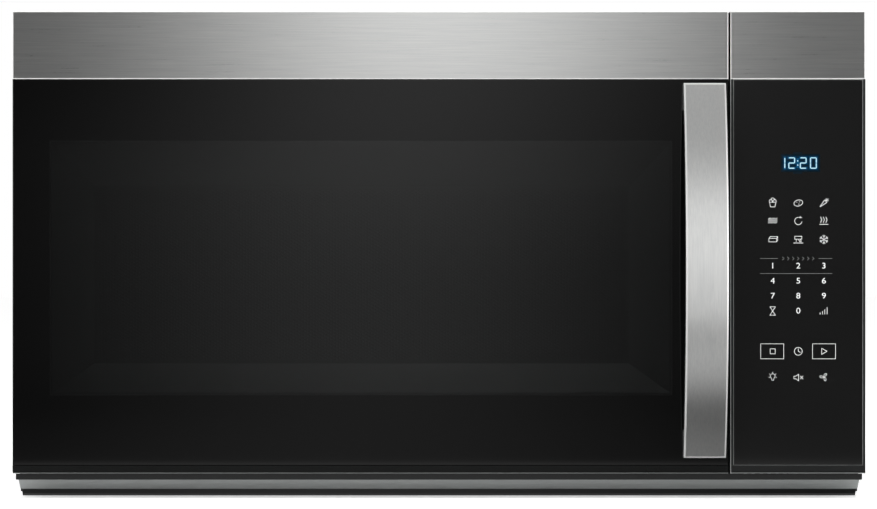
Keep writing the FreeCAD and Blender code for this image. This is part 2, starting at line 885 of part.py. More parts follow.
def hv_capacitor():
    """Oval oil capacitor can with its clamp strap and two terminals."""
    x, y = wall_right + s.capacitor_across, -s.capacitor_back
    up = s.shelf_up
    body = new_body("hv_capacitor")
    strap = 1.2
    tail = 21.0
    pad(body, "XY", (up, up + s.capacitor_high), slot(x, y, s.capacitor_long, s.capacitor_radius))
    around = slot(x, y, s.capacitor_long + 2 * strap, s.capacitor_radius + strap)
    pad(body, "XY", (up + 28.0, up + 42.0), around)
    pad(body, "XY", (up, up + 1.5), slot(x, y, s.capacitor_long + 2 * tail, 10.0))
    for side in (-1, 1):
        at = x + side * 12.0
        terminal = rect((at - 3.0, at + 3.0), (y - 0.5, y + 0.5))
        pad(body, "XY", (up + s.capacitor_high - 1.0, up + s.capacitor_high + 9.0), terminal)
    return piece("hv_capacitor", body)


def hv_diode():
    """High-voltage diode with its ring terminal, clamped beside the capacitor."""
    x, y = wall_right + s.diode_across, -s.capacitor_back
    up = s.shelf_up
    barrel = rod("y", (x, up + 9.0), 4.0, (y - 11.0, y + 11.0))
    saddle = box((x - 5.0, x + 5.0), (y - 4.0, y + 4.0), (up, up + 7.0))
    return piece("hv_diode", fuse(barrel, saddle))


def thermal_cutouts():
    """Disc thermostats: one on the cavity roof, one on the magnetron yoke."""
    roof = cavity_top + s.steel
    disc, high = 9.0, 7.0
    x, y = table_x + 60.0, table_y + 60.0
    on_roof = fuse(
        rod("z", (x, y), disc, (roof, roof + high)),
        box((x - 15.0, x + 15.0), (y - 6.0, y + 6.0), (roof, roof + 1.0)),
    )
    yoke_top = magnetron_z + s.magnetron_rise
    yoke_mid = wall_right + s.guide_deep + s.magnetron_long / 2 - 3.0
    on_yoke = rod("z", (yoke_mid, magnetron_y), disc, (yoke_top, yoke_top + high))
    return piece("thermal_cutouts", group(on_roof, on_yoke))


def cavity_lamp():
    """Oven lamp behind the perforations, in its bayonet holder."""
    y, z = lamp_y + 10.5, lamp_z + 7.0
    half = 12.0
    start = wall_right + 24.0
    holder = box((start, start + 18.0), (y - half, y + half), (z - half, z + half))
    bulb = rod("x", (y, z), 8.0, (wall_right + 4.0, start + 1.0))
    arms = []
    for side in (-1, 1):
        at = y + side * (half + 0.6)
        arms.append(box((wall_right, start + 16.0), (at - 0.6, at + 0.6), (z - 10.0, z + 10.0)))
    return piece("cavity_lamp", fuse(holder, bulb, *arms))


# ---- cooling air -------------------------------------------------------------------------

fan_x = wall_right + 92.0
shroud_y = -s.fan_back - 16.0


def fan_shroud():
    """Plate across the electrics bay with the cooling fan's round opening."""
    body = new_body("fan_shroud")
    across = (wall_right + s.fit, inside_right - s.fit - s.steel)
    tall = (s.shelf_up, s.fan_up + s.fan_radius + 30.0)
    hole = circle(fan_x, s.fan_up, s.fan_radius + 3.0)
    pad(body, "XZ", (shroud_y - s.steel, shroud_y), rect(across, tall), hole)
    foot = rect(across, (tall[0], tall[0] + s.steel))
    pad(body, "XZ", (shroud_y - 8.0, shroud_y - s.steel / 2), foot)
    rim = circle(fan_x, s.fan_up, s.fan_radius + 5.0)
    pad(body, "XZ", (shroud_y - s.steel / 2, shroud_y + 8.0), rim, hole)
    return piece("fan_shroud", body)


def fan_motor():
    """Shaded-pole motor of the cooling fan on a strap across the shroud."""
    x, z = fan_x, s.fan_up
    rear = shroud_y + 40.0
    strap_half = s.fan_radius + 12.0
    parts = [
        box((x - 22.0, x + 22.0), (rear, rear + 16.0), (z - 26.0, z + 30.0)),
        rod("y", (x, z), 2.5, (shroud_y + 12.0, rear + 1.0)),
        box((x - strap_half, x + strap_half), (rear - 1.5, rear), (z - 6.0, z + 6.0)),
    ]
    for side in (-1, 1):
        leg = side * (strap_half - 1.0)
        parts.append(box((x + leg - 1.0, x + leg + 1.0), (shroud_y, rear), (z - 6.0, z + 6.0)))
    return piece("fan_motor", fuse(*parts))


def cooling_fan():
    """Moulded fan: five twisted blades lofted from hub to tip."""
    radius = SIZES["fan_radius"]
    hub_radius = 11.0
    depth = 14.0
    blade_count = 5
    hub = Part.makeCylinder(hub_radius, depth, Vector(0, 0, 0), Vector(0, 1, 0))
    blades = []
    for i in range(blade_count):
        sections = []
        for at, chord, pitch in ((hub_radius - 2.0, 14.0, 48.0), (radius, 34.0, 24.0)):
            lean = math.radians(pitch)
            along = Vector(math.cos(lean), math.sin(lean), 0) * (chord / 2)
            thick = Vector(-math.sin(lean), math.cos(lean), 0) * 0.7
            centre = Vector(0, depth / 2, at)
            corners = [
                centre - along - thick,
                centre + along - thick,
                centre + along + thick,
                centre - along + thick,
            ]
            corners.append(corners[0])
            sections.append(Part.makePolygon(corners))
        blade = Part.makeLoft(sections, True, True)
        blade.rotate(Vector(), Vector(0, 1, 0), 360.0 * i / blade_count)
        blades.append(blade)
    bore = Part.makeCylinder(2.5 + 0.05, depth - 2.0, Vector(0, 2.0, 0), Vector(0, 1, 0))
    feature = doc.addObject("Part::Feature", "cooling_fan")
    feature.Shape = hub.multiFuse(blades).cut(bore)
    feature.Placement = Placement(Vector(0, 0, 0), Rotation())
    bind(feature, "Placement.Base.x", fan_x)
    bind(feature, "Placement.Base.y", shroud_y + 1.0)
    bind(feature, "Placement.Base.z", s.fan_up)
    return piece("cooling_fan", feature)


# ---- vent blower -------------------------------------------------------------------------

blower_y = -s.blower_back
motor_half = s.blower_motor_long / 2
wheel_start = motor_half + 8.0
wheel_end = wheel_start + s.blower_long


def squirrel_cage(node, start):
    """Squirrel-cage wheel: forward-curved blades between two rings, with a hub disc."""
    outer = SIZES["blower_radius"]
    inner = SIZES["blower_inner"]
    long = SIZES["blower_long"]
    blade_count = 20
    blade_thick = 0.7
    bow = 0.9
    mid = (outer + inner) / 2
    lean = math.radians(7.0)

    def on_arc(distance, angle):
        return Vector(0, distance * math.cos(angle), distance * math.sin(angle))

    shift = Vector(0, 0, blade_thick)
    ends = [on_arc(inner + 0.5, 0.0), on_arc(outer - 0.5, lean)]
    crown = on_arc(mid + bow / 2, lean / 2 - bow / mid)
    face_edges = [
        Part.Arc(ends[0], crown, ends[1]).toShape(),
        Part.makeLine(ends[1], ends[1] + shift),
        Part.Arc(ends[1] + shift, crown + shift, ends[0] + shift).toShape(),
        Part.makeLine(ends[0] + shift, ends[0]),
    ]
    blade = Part.Face(Part.Wire(face_edges)).extrude(Vector(long, 0, 0))
    blades = []
    for i in range(blade_count):
        copy = blade.copy()
        copy.rotate(Vector(), Vector(1, 0, 0), 360.0 * i / blade_count)
        blades.append(copy)
    axis = Vector(1, 0, 0)
    rings = []
    for at in (0.0, long - 3.0):
        solid = Part.makeCylinder(outer, 3.0, Vector(at, 0, 0), axis)
        rings.append(solid.cut(Part.makeCylinder(inner, 5.0, Vector(at - 1.0, 0, 0), axis)))
    disc = Part.makeCylinder(inner + 2.0, 2.0, Vector(long / 2 - 1.0, 0, 0), axis)
    hub = Part.makeCylinder(8.0, 18.0, Vector(long / 2 - 9.0, 0, 0), axis)
    whole = blades[0].multiFuse(blades[1:] + rings + [disc, hub])
    bore = Part.makeCylinder(4.0, long + 2.0, Vector(-1.0, 0, 0), axis)
    feature = doc.addObject("Part::Feature", node)
    feature.Shape = whole.cut(bore)
    feature.Placement = Placement(Vector(0, 0, 0), Rotation())
    bind(feature, "Placement.Base.x", start)
    bind(feature, "Placement.Base.y", blower_y)
    bind(feature, "Placement.Base.z", blower_z)
    return piece(node, feature)


def blower_shaft():
    """Through shaft of the blower motor, a wheel on each end."""
    reach = wheel_end + 6.0
    return piece("blower_shaft", rod("x", (blower_y, blower_z), 4.0, (-reach, reach)))


def vent_motor():
    """Two-speed blower motor in its can, with bearing bosses and a foot."""
    centre = (blower_y, blower_z)
    can = rod("x", centre, s.blower_motor, (-motor_half, motor_half))
    bosses = rod("x", centre, 12.0, (-motor_half - 5.0, motor_half + 5.0))
    foot_z = (cavity_top + s.steel, blower_z)
    foot = box((-motor_half + 6.0, motor_half - 6.0), (blower_y - 12.0, blower_y + 12.0), foot_z)
    bore = rod("x", centre, 4.0 + 0.08, (-motor_half - 6.0, motor_half + 6.0))
    return piece("vent_motor", cut(fuse(can, bosses, foot), bore))


def blower_housing():
    """Two sheet-steel scrolls joined by the top plate that closes the cabinet's outlet.
    Each scroll has an inlet at both ends and blows forwards, towards the grille."""
    body = new_body("blower_housing")
    plate_z = (plate_under, plate_under + s.steel)
    half = s.outlet_wide / 2 + 8.0
    rear = blower_y + s.outlet_deep / 2 + 6.0
    front = blower_y - s.outlet_deep / 2 - 8.0
    pad(body, "XY", plate_z, rect((-half, half), (front, rear)))
    scroll = s.blower_radius + s.scroll_gap
    mouth = blower_y - scroll - 16.0
    floor = blower_z - scroll
    roof = plate_z[0] + 0.5
    for side in (-1, 1):
        near_end = side * (wheel_start - 3.0)
        far_end = side * (wheel_end + 3.0)
        span = (far_end, near_end) if side < 0 else (near_end, far_end)
        outer = [
            (blower_y, floor),
            (blower_y + scroll, blower_z, (blower_y, blower_z), 1),
            (blower_y + scroll, roof),
            (mouth, roof),
            (mouth, floor),
        ]
        wall = s.steel
        hollow = [
            (blower_y, floor + wall),
            (blower_y + scroll - wall, blower_z, (blower_y, blower_z), 1),
            (blower_y + scroll - wall, roof - wall),
            (mouth - 1.0, roof - wall),
            (mouth - 1.0, floor + wall),
        ]
        pad(body, "YZ", span, outer)
        pocket(body, "YZ", (span[0] + wall, span[1] - wall), hollow)
        inlet = circle(blower_y, blower_z, s.blower_inner - 2.0)
        pocket(body, "YZ", (span[0] - 1.0, span[1] + 1.0), inlet)
    return piece("blower_housing", body)


# ---- vent grille and filters -------------------------------------------------------------

grille_x = (body_left + s.grille_side + s.fit, body_right - s.grille_side - s.fit)
grille_y = (plate_y + s.fit, plate_y + s.grille_deep - s.fit)


def vent_grille():
    """Moulded louvre in the cabinet's top front: frame, slats leaning forwards and ribs."""
    low = top - s.grille_high
    wall = 2.0
    frame = cut(
        box(grille_x, grille_y, (low, top - 0.6)),
        box(
            (grille_x[0] + wall, grille_x[1] - wall),
            (grille_y[0] + wall, grille_y[1] - wall),
            (low - 1.0, top + 1.0),
        ),
    )
    parts = [frame]
    slat_count = int((SIZES["grille_deep"] - 10.0) / SIZES["slat_pitch"])
    slat_long = 15.0
    for i in range(slat_count):
        slat = doc.addObject("Part::Box", "slat")
        slat.Placement = Placement(Vector(), Rotation(Vector(1, 0, 0), 40.0))
        bind(slat, "Length", grille_x[1] - grille_x[0] - wall)
        bind(slat, "Width", s.slat_thick)
        bind(slat, "Height", slat_long)
        bind(slat, "Placement.Base.x", grille_x[0] + wall / 2)
        bind(slat, "Placement.Base.y", grille_y[0] + 12.0 + i * s.slat_pitch)
        bind(slat, "Placement.Base.z", top - 13.5)
        parts.append(slat)
    rib_count = 11
    step = (grille_x[1] - grille_x[0]) / (rib_count + 1)
    for i in range(1, rib_count + 1):
        at = grille_x[0] + i * step
        rib_y = (grille_y[0] + wall / 2, grille_y[1] - wall / 2)
        parts.append(box((at - 1.0, at + 1.0), rib_y, (top - 15.0, top - 2.5)))
    return piece("vent_grille", fuse(*parts))


def charcoal_filter():
    """Odour filter below the louvre: a card frame round a charcoal bed."""
    low = top - s.grille_high + 2.0
    x = (grille_x[0] + 120.0, grille_x[1] - 120.0)
    y = (grille_y[0] + 2.0 + s.fit, grille_y[1] - 2.0 - s.fit)
    frame = cut(
        box(x, y, (low, low + 12.0)),
        box((x[0] + 8.0, x[1] - 8.0), (y[0] + 6.0, y[1] - 6.0), (low - 1.0, low + 13.0)),
    )
    bed = box((x[0] + 7.0, x[1] - 7.0), (y[0] + 5.0, y[1] - 5.0), (low + 2.0, low + 10.0))
    return piece("charcoal_filter", fuse(frame, bed))


def grease_filter(node, ends):
    """Aluminium grease filter: a folded channel frame round a pleated mesh pack, with a
    pull tab. It slides rearwards to free its front edge."""
    low = s.steel + 0.2
    high = low + s.filter_thick
    rail = 7.0
    frame = cut(
        box(ends, (filter_front, filter_rear), (low, high)),
        box(
            (ends[0] + rail, ends[1] - rail),
            (filter_front + rail, filter_rear - rail),
            (low - 1.0, high + 1.0),
        ),
    )
    pack = new_body("pleats")
    pleat_count = 13
    step = (s.filter_deep - 2 * rail + 2.0) / (2 * pleat_count)
    start = filter_front + rail - 1.0
    valley = low + 1.2
    ridge = high - 2.6
    mesh_thick = 1.4
    folds = range(2 * pleat_count + 1)
    lower = [(start + i * step, ridge if i % 2 else valley) for i in folds]
    upper = [(at, level + mesh_thick) for at, level in reversed(lower)]
    pad(pack, "YZ", (ends[0] + rail - 1.0, ends[1] - rail + 1.0), lower + upper)
    mid = middle(ends)
    tab_y = (filter_front + s.filter_rest + 0.5, filter_front + 16.0)
    tab = box((mid - 14.0, mid + 14.0), tab_y, (low, low + 2.0))
    return piece(node, fuse(frame, pack, tab))


def cooktop_lamp():
    """Lamp that lights the cooktop: bulb in its holder above the lens."""
    mid = middle(lens_x)
    y = middle(lens_y)
    holder = box((mid + 22.0, mid + 44.0), (y - 12.0, y + 12.0), (10.0, 34.0))
    bulb = rod("x", (y, 22.0), 9.0, (mid - 24.0, mid + 23.0))
    bracket = box((mid + 43.0, mid + 45.0), (y - 12.0, y + 12.0), (s.steel + 3.2, 36.0))
    return piece("cooktop_lamp", fuse(holder, bulb, bracket))


def cooktop_lens():
    """Pressed glass lens that lies in the pan's window on its ledge."""
    body = new_body("cooktop_lens")
    pad(body, "XY", (s.steel, s.steel + 3.0), rect(lens_x, lens_y))
    ledge = lens_ledge + s.fit
    low = rect((lens_x[0] + ledge, lens_x[1] - ledge), (lens_y[0] + ledge, lens_y[1] - ledge))
    pad(body, "XY", (0.2, s.steel + 0.5), low)
    holes = [circle(middle(lens_x), at_y, 1.9) for at_y in lens_screws]
    pocket(body, "XY", (s.steel - 0.5, s.steel + 4.0), *holes)
    return piece("cooktop_lens", body)


# ---- turntable ---------------------------------------------------------------------------

wheel_z = s.cavity_floor + s.fit + s.wheel_radius
tray_under = wheel_z + s.wheel_radius + s.fit


def turntable_motor():
    """Slow synchronous motor under the cavity floor; its shaft rises through the floor."""
    under = s.cavity_floor - s.steel
    centre = (table_x, table_y)
    can = rod("z", centre, s.motor_radius, (under - 20.0, under - 0.2))
    ears = box(
        (table_x - s.motor_radius - 9.0, table_x + s.motor_radius + 9.0),
        (table_y - 7.0, table_y + 7.0),
        (under - 1.6, under),
    )
    shaft = rod("z", centre, s.shaft_radius, (under - 2.0, s.cavity_floor + 9.0))
    rim_y = table_y + s.motor_radius
    connector = box(
        (table_x - 8.0, table_x + 8.0),
        (rim_y - 3.0, rim_y + 9.0),
        (under - 17.0, under - 6.0),
    )
    return piece("turntable_motor", fuse(can, ears, shaft, connector))


def drive_coupler():
    """Three-armed plastic coupler on the motor's shaft."""
    centre = (table_x, table_y)
    low = s.cavity_floor + 0.5
    high = tray_under - 0.6
    parts = [rod("z", centre, 9.0, (low, high))]
    for i in range(3):
        arm = doc.addObject("Part::Box", "arm")
        arm.Placement = Placement(Vector(), Rotation(Vector(0, 0, 1), 30.0 + 120.0 * i))
        turn = math.radians(30.0 + 120.0 * i)
        half = 3.5
        bind(arm, "Length", 24.0)
        bind(arm, "Width", 2 * half)
        bind(arm, "Height", 6.0)
        bind(arm, "Placement.Base.x", table_x + half * math.sin(turn))
        bind(arm, "Placement.Base.y", table_y - half * math.cos(turn))
        bind(arm, "Placement.Base.z", high - 6.0)
        parts.append(arm)
    bore = rod("z", centre, s.shaft_radius + s.pin_play, (low - 1.0, s.cavity_floor + 9.3))
    return piece("drive_coupler", cut(fuse(*parts), bore))


def roller_ring():
    """Moulded ring with three axle stubs for the rollers."""
    centre = (table_x, table_y)
    level = (wheel_z - 2.0, wheel_z + 2.0)
    parts = [ring("z", centre, s.ring_outer, s.ring_inner, level)]
    for i in range(3):
        turn = math.radians(90.0 + 120.0 * i)
        axle = doc.addObject("Part::Cylinder", "axle")
        outward = Vector(math.cos(turn), math.sin(turn), 0)
        axle.Placement = Placement(Vector(), Rotation(Vector(0, 0, 1), outward))
        bind(axle, "Radius", 2.0)
        start = s.ring_outer - 2.0
        bind(axle, "Height", s.wheel_orbit + s.wheel_thick / 2 + 1.0 - start)
        bind(axle, "Placement.Base.x", table_x + start * math.cos(turn))
        bind(axle, "Placement.Base.y", table_y + start * math.sin(turn))
        bind(axle, "Placement.Base.z", wheel_z)
        parts.append(axle)
    return piece("roller_ring", fuse(*parts))


def roller_wheel(index):
    """Plastic roller on one of the ring's axle stubs."""
    turn = math.radians(90.0 + 120.0 * index)
    aim = Rotation(Vector(0, 0, 1), Vector(math.cos(turn), math.sin(turn), 0))
    start = s.wheel_orbit - s.wheel_thick / 2
    rounds = []
    tyre = (s.wheel_radius, s.wheel_thick, 0.0)
    bore = (as_size(2.06), s.wheel_thick + 4.0, 2.0)
    for radius, long, back in (tyre, bore):
        bar = doc.addObject("Part::Cylinder", "roller")
        bar.Placement = Placement(Vector(), aim)
        bind(bar, "Radius", radius)
        bind(bar, "Height", long)
        bind(bar, "Placement.Base.x", table_x + (start - back) * math.cos(turn))
        bind(bar, "Placement.Base.y", table_y + (start - back) * math.sin(turn))
        bind(bar, "Placement.Base.z", wheel_z)
        rounds.append(bar)
    return piece(f"roller_wheel_{index + 1}", cut(*rounds))


def glass_tray():
    """Pressed glass tray: flat plate, raised rim and three lugs that the coupler drives."""
    body = new_body("tray_disc")
    half = s.tray_radius
    outline = [
        (0, tray_under),
        (half - 16.0, tray_under),
        (half, tray_under + s.tray_rim - 3.0),
        (half, tray_under + s.tray_rim),
        (half - 2.5, tray_under + s.tray_rim),
        (half - 18.0, tray_under + s.tray_thick),
        (0, tray_under + s.tray_thick),
    ]
    drawing = draw(body, "XZ", 0, [outline])
    turned = body.newObject("PartDesign::Revolution", "turned")
    turned.Profile = drawing
    turned.ReferenceAxis = (drawing, ["V_Axis"])
    turned.Angle = 360.0
    bind(body, "Placement.Base.x", table_x)
    bind(body, "Placement.Base.y", table_y)
    parts = [body]
    for i in range(3):
        turn = math.radians(90.0 + 120.0 * i)
        reach = 17.0
        centre = (table_x + reach * math.cos(turn), table_y + reach * math.sin(turn))
        parts.append(rod("z", centre, 4.0, (tray_under - 5.0, tray_under + 1.0)))
    return piece("glass_tray", fuse(*parts))


# ---- door --------------------------------------------------------------------------------

window_x = (left + s.window_left, door_right - s.window_right)
window_z = (s.door_low + s.window_low, top - s.window_top)
rim_margin = 12.0
shell_x = (left + s.shell_inset, door_right - s.shell_inset)
shell_z = (s.door_low, top - s.steel)
shell_y = (glass_back, glass_back + s.shell_deep)


def door_glass():
    """Black glass that covers the door below the band, its edges ground, with the holes
    for the handle's screws."""
    body = new_body("door_glass")
    pad(body, "XZ", (door_front, glass_back), rect((left, door_right), (trim_top, band_low)))
    holes = [circle(handle_mid, at, 2.2) for at in foot_places]
    pocket(body, "XZ", (door_front - 1.0, glass_back + 1.0), *holes)

    def front_edge(edge):
        at_front = near(edge.BoundBox.YMax, door_front) and near(edge.BoundBox.YMin, door_front)
        return at_front and isinstance(edge.Curve, Part.Line)

    soften(body, "Chamfer", 0.6, front_edge)
    return piece("door_glass", body)


def steel_band(node, x, notch):
    """Stainless cap along the top: face, top flange and folded ends in one sheet."""
    body = new_body(node)
    back = shell_y[1]
    pad(body, "XZ", (door_front, back), rect(x, (band_low, top)))

    def long_front(edge):
        return near(edge.BoundBox.YMax, door_front) and near(edge.BoundBox.YMin, door_front)

    soften(body, "Fillet", 0.9, long_front)
    inside = rect((x[0] + s.steel, x[1] - s.steel), (band_low - 1.0, top - s.steel))
    pocket(body, "XZ", (glass_back, back + 1.0), inside)
    lower = rect((x[0] + s.steel, x[1] - s.steel), (band_low + s.steel, top - s.steel))
    pocket(body, "XZ", (door_front + s.steel, glass_back + 0.5), lower)
    if notch:
        slot_z = (leaf_top - 1.5, leaf_top + s.leaf_thick + 1.5)
        slot_y = (pin_y - s.leaf_half - 3.0, back + 1.0)
        pocket(body, "YZ", (x[0] - 1.0, x[0] + 2 * s.steel), rect(slot_y, slot_z))
    return piece(node, body)


def door_bottom_trim():
    """Bevelled black strip under the glass."""
    body = new_body("door_bottom_trim")
    outline = [
        (glass_back, s.door_low),
        (glass_back, trim_top),
        (door_front, trim_top),
        (door_front, s.door_low + 2.0),
        (door_front + 2.0, s.door_low),
    ]
    pad(body, "YZ", (left, door_right), outline)
    return piece("door_bottom_trim", body)


def door_shell():
    """Moulded shell behind the glass: outer walls, window opening with its rim, and the
    two corner bosses that hold the hinge bushes."""
    body = new_body("door_shell")
    window = rect(window_x, window_z)
    pad(body, "XZ", shell_y, rect(shell_x, shell_z))
    wall = s.shell_wall
    inside = inset(shell_x, shell_z, wall)
    face_back = shell_y[0] + s.shell_face
    pocket(body, "XZ", (face_back, shell_y[1] + 1.0), inside)
    pocket(body, "XZ", (shell_y[0] - 1.0, face_back + 1.0), window)
    frame_front = door_back - s.cover_thick - s.frame_deep
    rim_outer = inset(window_x, window_z, -rim_margin)
    rim_inner = inset(window_x, window_z, wall - rim_margin)
    pad(body, "XZ", (face_back - 0.5, frame_front), rim_outer, rim_inner)
    boss = (shell_x[0] + wall / 2, pin_x + 8.0)
    boss_rear = frame_front - 0.4
    lower = (shell_z[0] + wall / 2, shell_z[0] + 2 * wall + s.pin_long)
    slot_z = (leaf_top - 1.5, leaf_top + s.leaf_thick + 1.5)
    upper = (slot_z[0] - wall - s.pin_long, slot_z[0] + 0.5)
    pad(body, "XZ", (face_back - 0.5, boss_rear), rect(boss, lower), rect(boss, upper))
    side_slot = rect((shell_x[0] - 1.0, pin_x + 9.5), slot_z)
    pocket(body, "XZ", (pin_y - s.leaf_half - 3.0, shell_y[1] + 1.0), side_slot)
    holes = circle(pin_x, pin_y, s.bush_radius)
    pocket(body, "XY", (shell_z[0] - 1.0, shell_z[0] + wall + s.pin_long), holes)
    pocket(body, "XY", (slot_z[0] - s.pin_long, slot_z[0] + 1.0), holes)
    screw = [circle(handle_mid, at, 2.4) for at in foot_places]
    pocket(body, "XZ", (shell_y[0] - 1.0, face_back + 1.0), *screw)
    return piece("door_shell", body)


handle_x = (door_right - s.handle_inset - s.handle_wide, door_right - s.handle_inset)
handle_mid = middle(handle_x)
foot_places = [handle_low + s.handle_foot / 2, handle_high - s.handle_foot / 2]


def hinge_bushes():
    """Nylon bushes in the shell's corner bosses."""
    slot_z = leaf_top - 1.5
    spans = [
        (s.door_low, s.door_low + s.shell_wall + s.pin_long),
        (slot_z - s.pin_long, slot_z),
    ]
    bushes = [
        ring("z", (pin_x, pin_y), s.bush_radius, s.pin_radius + s.pin_play, span)
        for span in spans
    ]
    return piece("hinge_bushes", group(*bushes))


def hinge(node, level, pin_span):
    """Steel hinge leaf on the cabinet's side, with its riveted pin."""
    body = new_body(node)
    rear = plate_y + s.leaf_rear
    nose = pin_y
    half = s.leaf_half
    outline = [
        (pin_x + half, nose),
        (pin_x + half, rear),
        (inside_left, rear),
        (inside_left, plate_y + 2.0),
        (pin_x - half, plate_y + 2.0),
        (pin_x - half, nose),
        (pin_x + half, nose, (pin_x, nose), 1),
    ]
    pad(body, "XY", (level, level + s.leaf_thick), outline)
    up = level.number < top.number / 2
    far = level + s.leaf_thick
    tab = (level, far + s.leaf_tab) if up else (level - s.leaf_tab, far)
    pad(body, "XY", tab, rect((inside_left, inside_left + 2.0), (plate_y + 4.0, rear)))
    pad(body, "XY", pin_span, circle(pin_x, pin_y, s.pin_radius))
    return piece(node, body)


def door_screen():
    """Stamped screen: a flat rim, a sloping border like a picture frame and the flat
    perforated field set back from the glass."""
    body = new_body("door_screen")
    front = shell_y[0] + s.shell_face + s.fit / 3
    back = front + s.screen_dish
    thick = s.screen_steel
    margin = rim_margin - s.shell_wall - s.fit
    rim_x = (window_x[0] - margin, window_x[1] + margin)
    rim_z = (window_z[0] - margin, window_z[1] + margin)
    field_x = (window_x[0] + s.bevel_side, window_x[1] - s.bevel_side)
    field_z = (window_z[0] + s.bevel_low, window_z[1] - s.bevel_top)
    pad(body, "XZ", (front, front + thick), rect(rim_x, rim_z))
    start = front + thick / 2
    sections = [(back, rect(field_x, field_z)), (start, rect(window_x, window_z))]
    loft(body, "Additive", "XZ", sections)
    inner_field = inset(field_x, field_z, thick)
    inner_rim = inset(window_x, window_z, 2.0)
    pocket(body, "XZ", (front - 1.0, start), inner_rim)
    loft(body, "Subtractive", "XZ", [(back - thick, inner_field), (start, inner_rim)])
    return piece("door_screen", body)


frame_x = (left + s.frame_inset, door_right - s.frame_margin)
frame_z = (s.door_low + s.frame_margin, band_low + 34.0)
frame_y = (door_back - s.cover_thick - s.frame_deep, door_back - s.cover_thick)
mouth_x = (cavity_left + 3.0, cavity_right - 3.0)
mouth_z = (s.cavity_floor + 4.0, cavity_top - 4.0)


def door_inner_frame():
    """Steel choke frame: a deep channel round the oven's mouth that stops leakage, with
    the slots that the latch hooks pass through."""
    body = new_body("door_inner_frame")
    pad(body, "XZ", frame_y, rect(frame_x, frame_z), rect(mouth_x, mouth_z))
    groove_out = inset(mouth_x, mouth_z, -s.choke_edge - s.choke_wide)
    groove_in = inset(mouth_x, mouth_z, -s.choke_edge)
    pocket(body, "XZ", (frame_y[1] - s.choke_deep, frame_y[1] + 1.0), groove_out, groove_in)
    slots = []
    for low in hook_places():
        tall = (low - s.hook_nose - 1.0, low + s.hook_high + s.hook_travel + 1.0)
        slots.append(rect((hook_x[0] - 1.0, hook_x[1] + 1.0), tall))
    pocket(body, "XZ", (frame_y[0] - 1.0, frame_y[1] + 1.0), *slots)
    return piece("door_inner_frame", body)


def choke_cover():
    """Plastic ring snapped over the choke channel."""
    body = new_body("choke_cover")
    outer = inset(mouth_x, mouth_z, -s.choke_edge - s.choke_wide - 3.0)
    pad(body, "XZ", (frame_y[1], door_back), outer, rect(mouth_x, mouth_z))
    return piece("choke_cover", body)


def inner_glass():
    """Clear glass on the oven side of the screen, held by the choke frame."""
    gap = rim_margin - s.shell_wall - 2 * s.fit
    x = (window_x[0] - gap, window_x[1] + gap)
    z = (window_z[0] - gap, window_z[1] + gap)
    start = frame_y[0] - s.fit / 3 - s.inner_glass
    return piece("inner_glass", box(x, (start, start + s.inner_glass), z))


def door_handle():
    """Flat brushed-steel handle, bowed forwards between two feet, its edges bevelled."""
    body = new_body("door_handle")
    low, high = handle_low, handle_high
    mid = (low + high) / 2
    half = (high - low) / 2
    radius = (half * half + s.handle_bow * s.handle_bow) / (2 * s.handle_bow)
    end_y = door_front - s.handle_end
    crown = end_y - s.handle_bow
    inner_low, inner_high = low + s.handle_foot, high - s.handle_foot
    inner_half = half - s.handle_foot
    inner_bow = s.handle_bow * inner_half * inner_half / (half * half)
    inner_crown = crown + s.handle_thick
    inner_end = inner_crown + inner_bow
    inner_radius = (inner_half * inner_half + inner_bow * inner_bow) / (2 * inner_bow)
    outline = [
        (door_front, low),
        (door_front, inner_low),
        (inner_end, inner_low),
        (inner_end, inner_high, (inner_crown + inner_radius, mid), -1),
        (door_front, inner_high),
        (door_front, high),
        (end_y, high),
        (end_y, low, (crown + radius, mid), 1),
    ]
    pad(body, "YZ", handle_x, outline)

    def front_edge(edge):
        return edge.BoundBox.YMax < end_y.number + 0.05

    soften(body, "Chamfer", s.handle_bevel, front_edge)
    holes = [circle(handle_mid, at, 1.7) for at in foot_places]
    pocket(body, "XZ", (door_front - 9.0, door_front + 1.0), *holes)
    return piece("door_handle", body)


def handle_screws():
    """Two screws from inside the door into the handle's feet."""
    screws = []
    face_back = shell_y[0] + s.shell_face
    for at in foot_places:
        shank = rod("y", (handle_mid, at), 1.6, (door_front - 8.0, face_back + 0.5))
        head = rod("y", (handle_mid, at), 4.0, (face_back, face_back + 2.5))
        screws.append(fuse(shank, head))
    return piece("handle_screws", group(*screws))


bar_y = (frame_y[0] - 9.0, frame_y[0] - 1.0)
bar_end = 12.0


def latch_hooks():
    """Sprung latch bar with two hooks; a hook lifts over the latch board's lip."""
    low, high = hook_places()
    bar_z = (low - bar_end, high + s.hook_high + 8.0)
    parts = [box((hook_x[0] - 2.0, hook_x[1] + 2.0), bar_y, bar_z)]
    reach = plate_y + s.hook_reach
    for start in (low, high):
        parts.append(box(hook_x, (bar_y[0], reach), (start, start + s.hook_high)))
        nose = new_body("nose")
        outline = [
            (reach - 7.0, start + 1.0),
            (reach - 7.0, start - s.hook_nose),
            (reach - 4.0, start - s.hook_nose),
            (reach, start + 1.0),
        ]
        pad(nose, "YZ", hook_x, outline)
        parts.append(nose)
    return piece("latch_hooks", fuse(*parts))


def latch_spring():
    """Close-wound spring that pulls the latch bar down, drawn as the tube of its coils."""
    coil, wire, long = 3.0, 0.6, 21.0
    high = s.hook_low - bar_end - 0.1
    centre = (middle(hook_x), middle(bar_y))
    span = (high - long, high)
    return piece("latch_spring", ring("z", centre, coil + wire, coil - wire, span))


# ---- control panel -----------------------------------------------------------------------

panel_edge = 1.2
clock_x = panel_left + 62.9
clock_z = top - 135.0


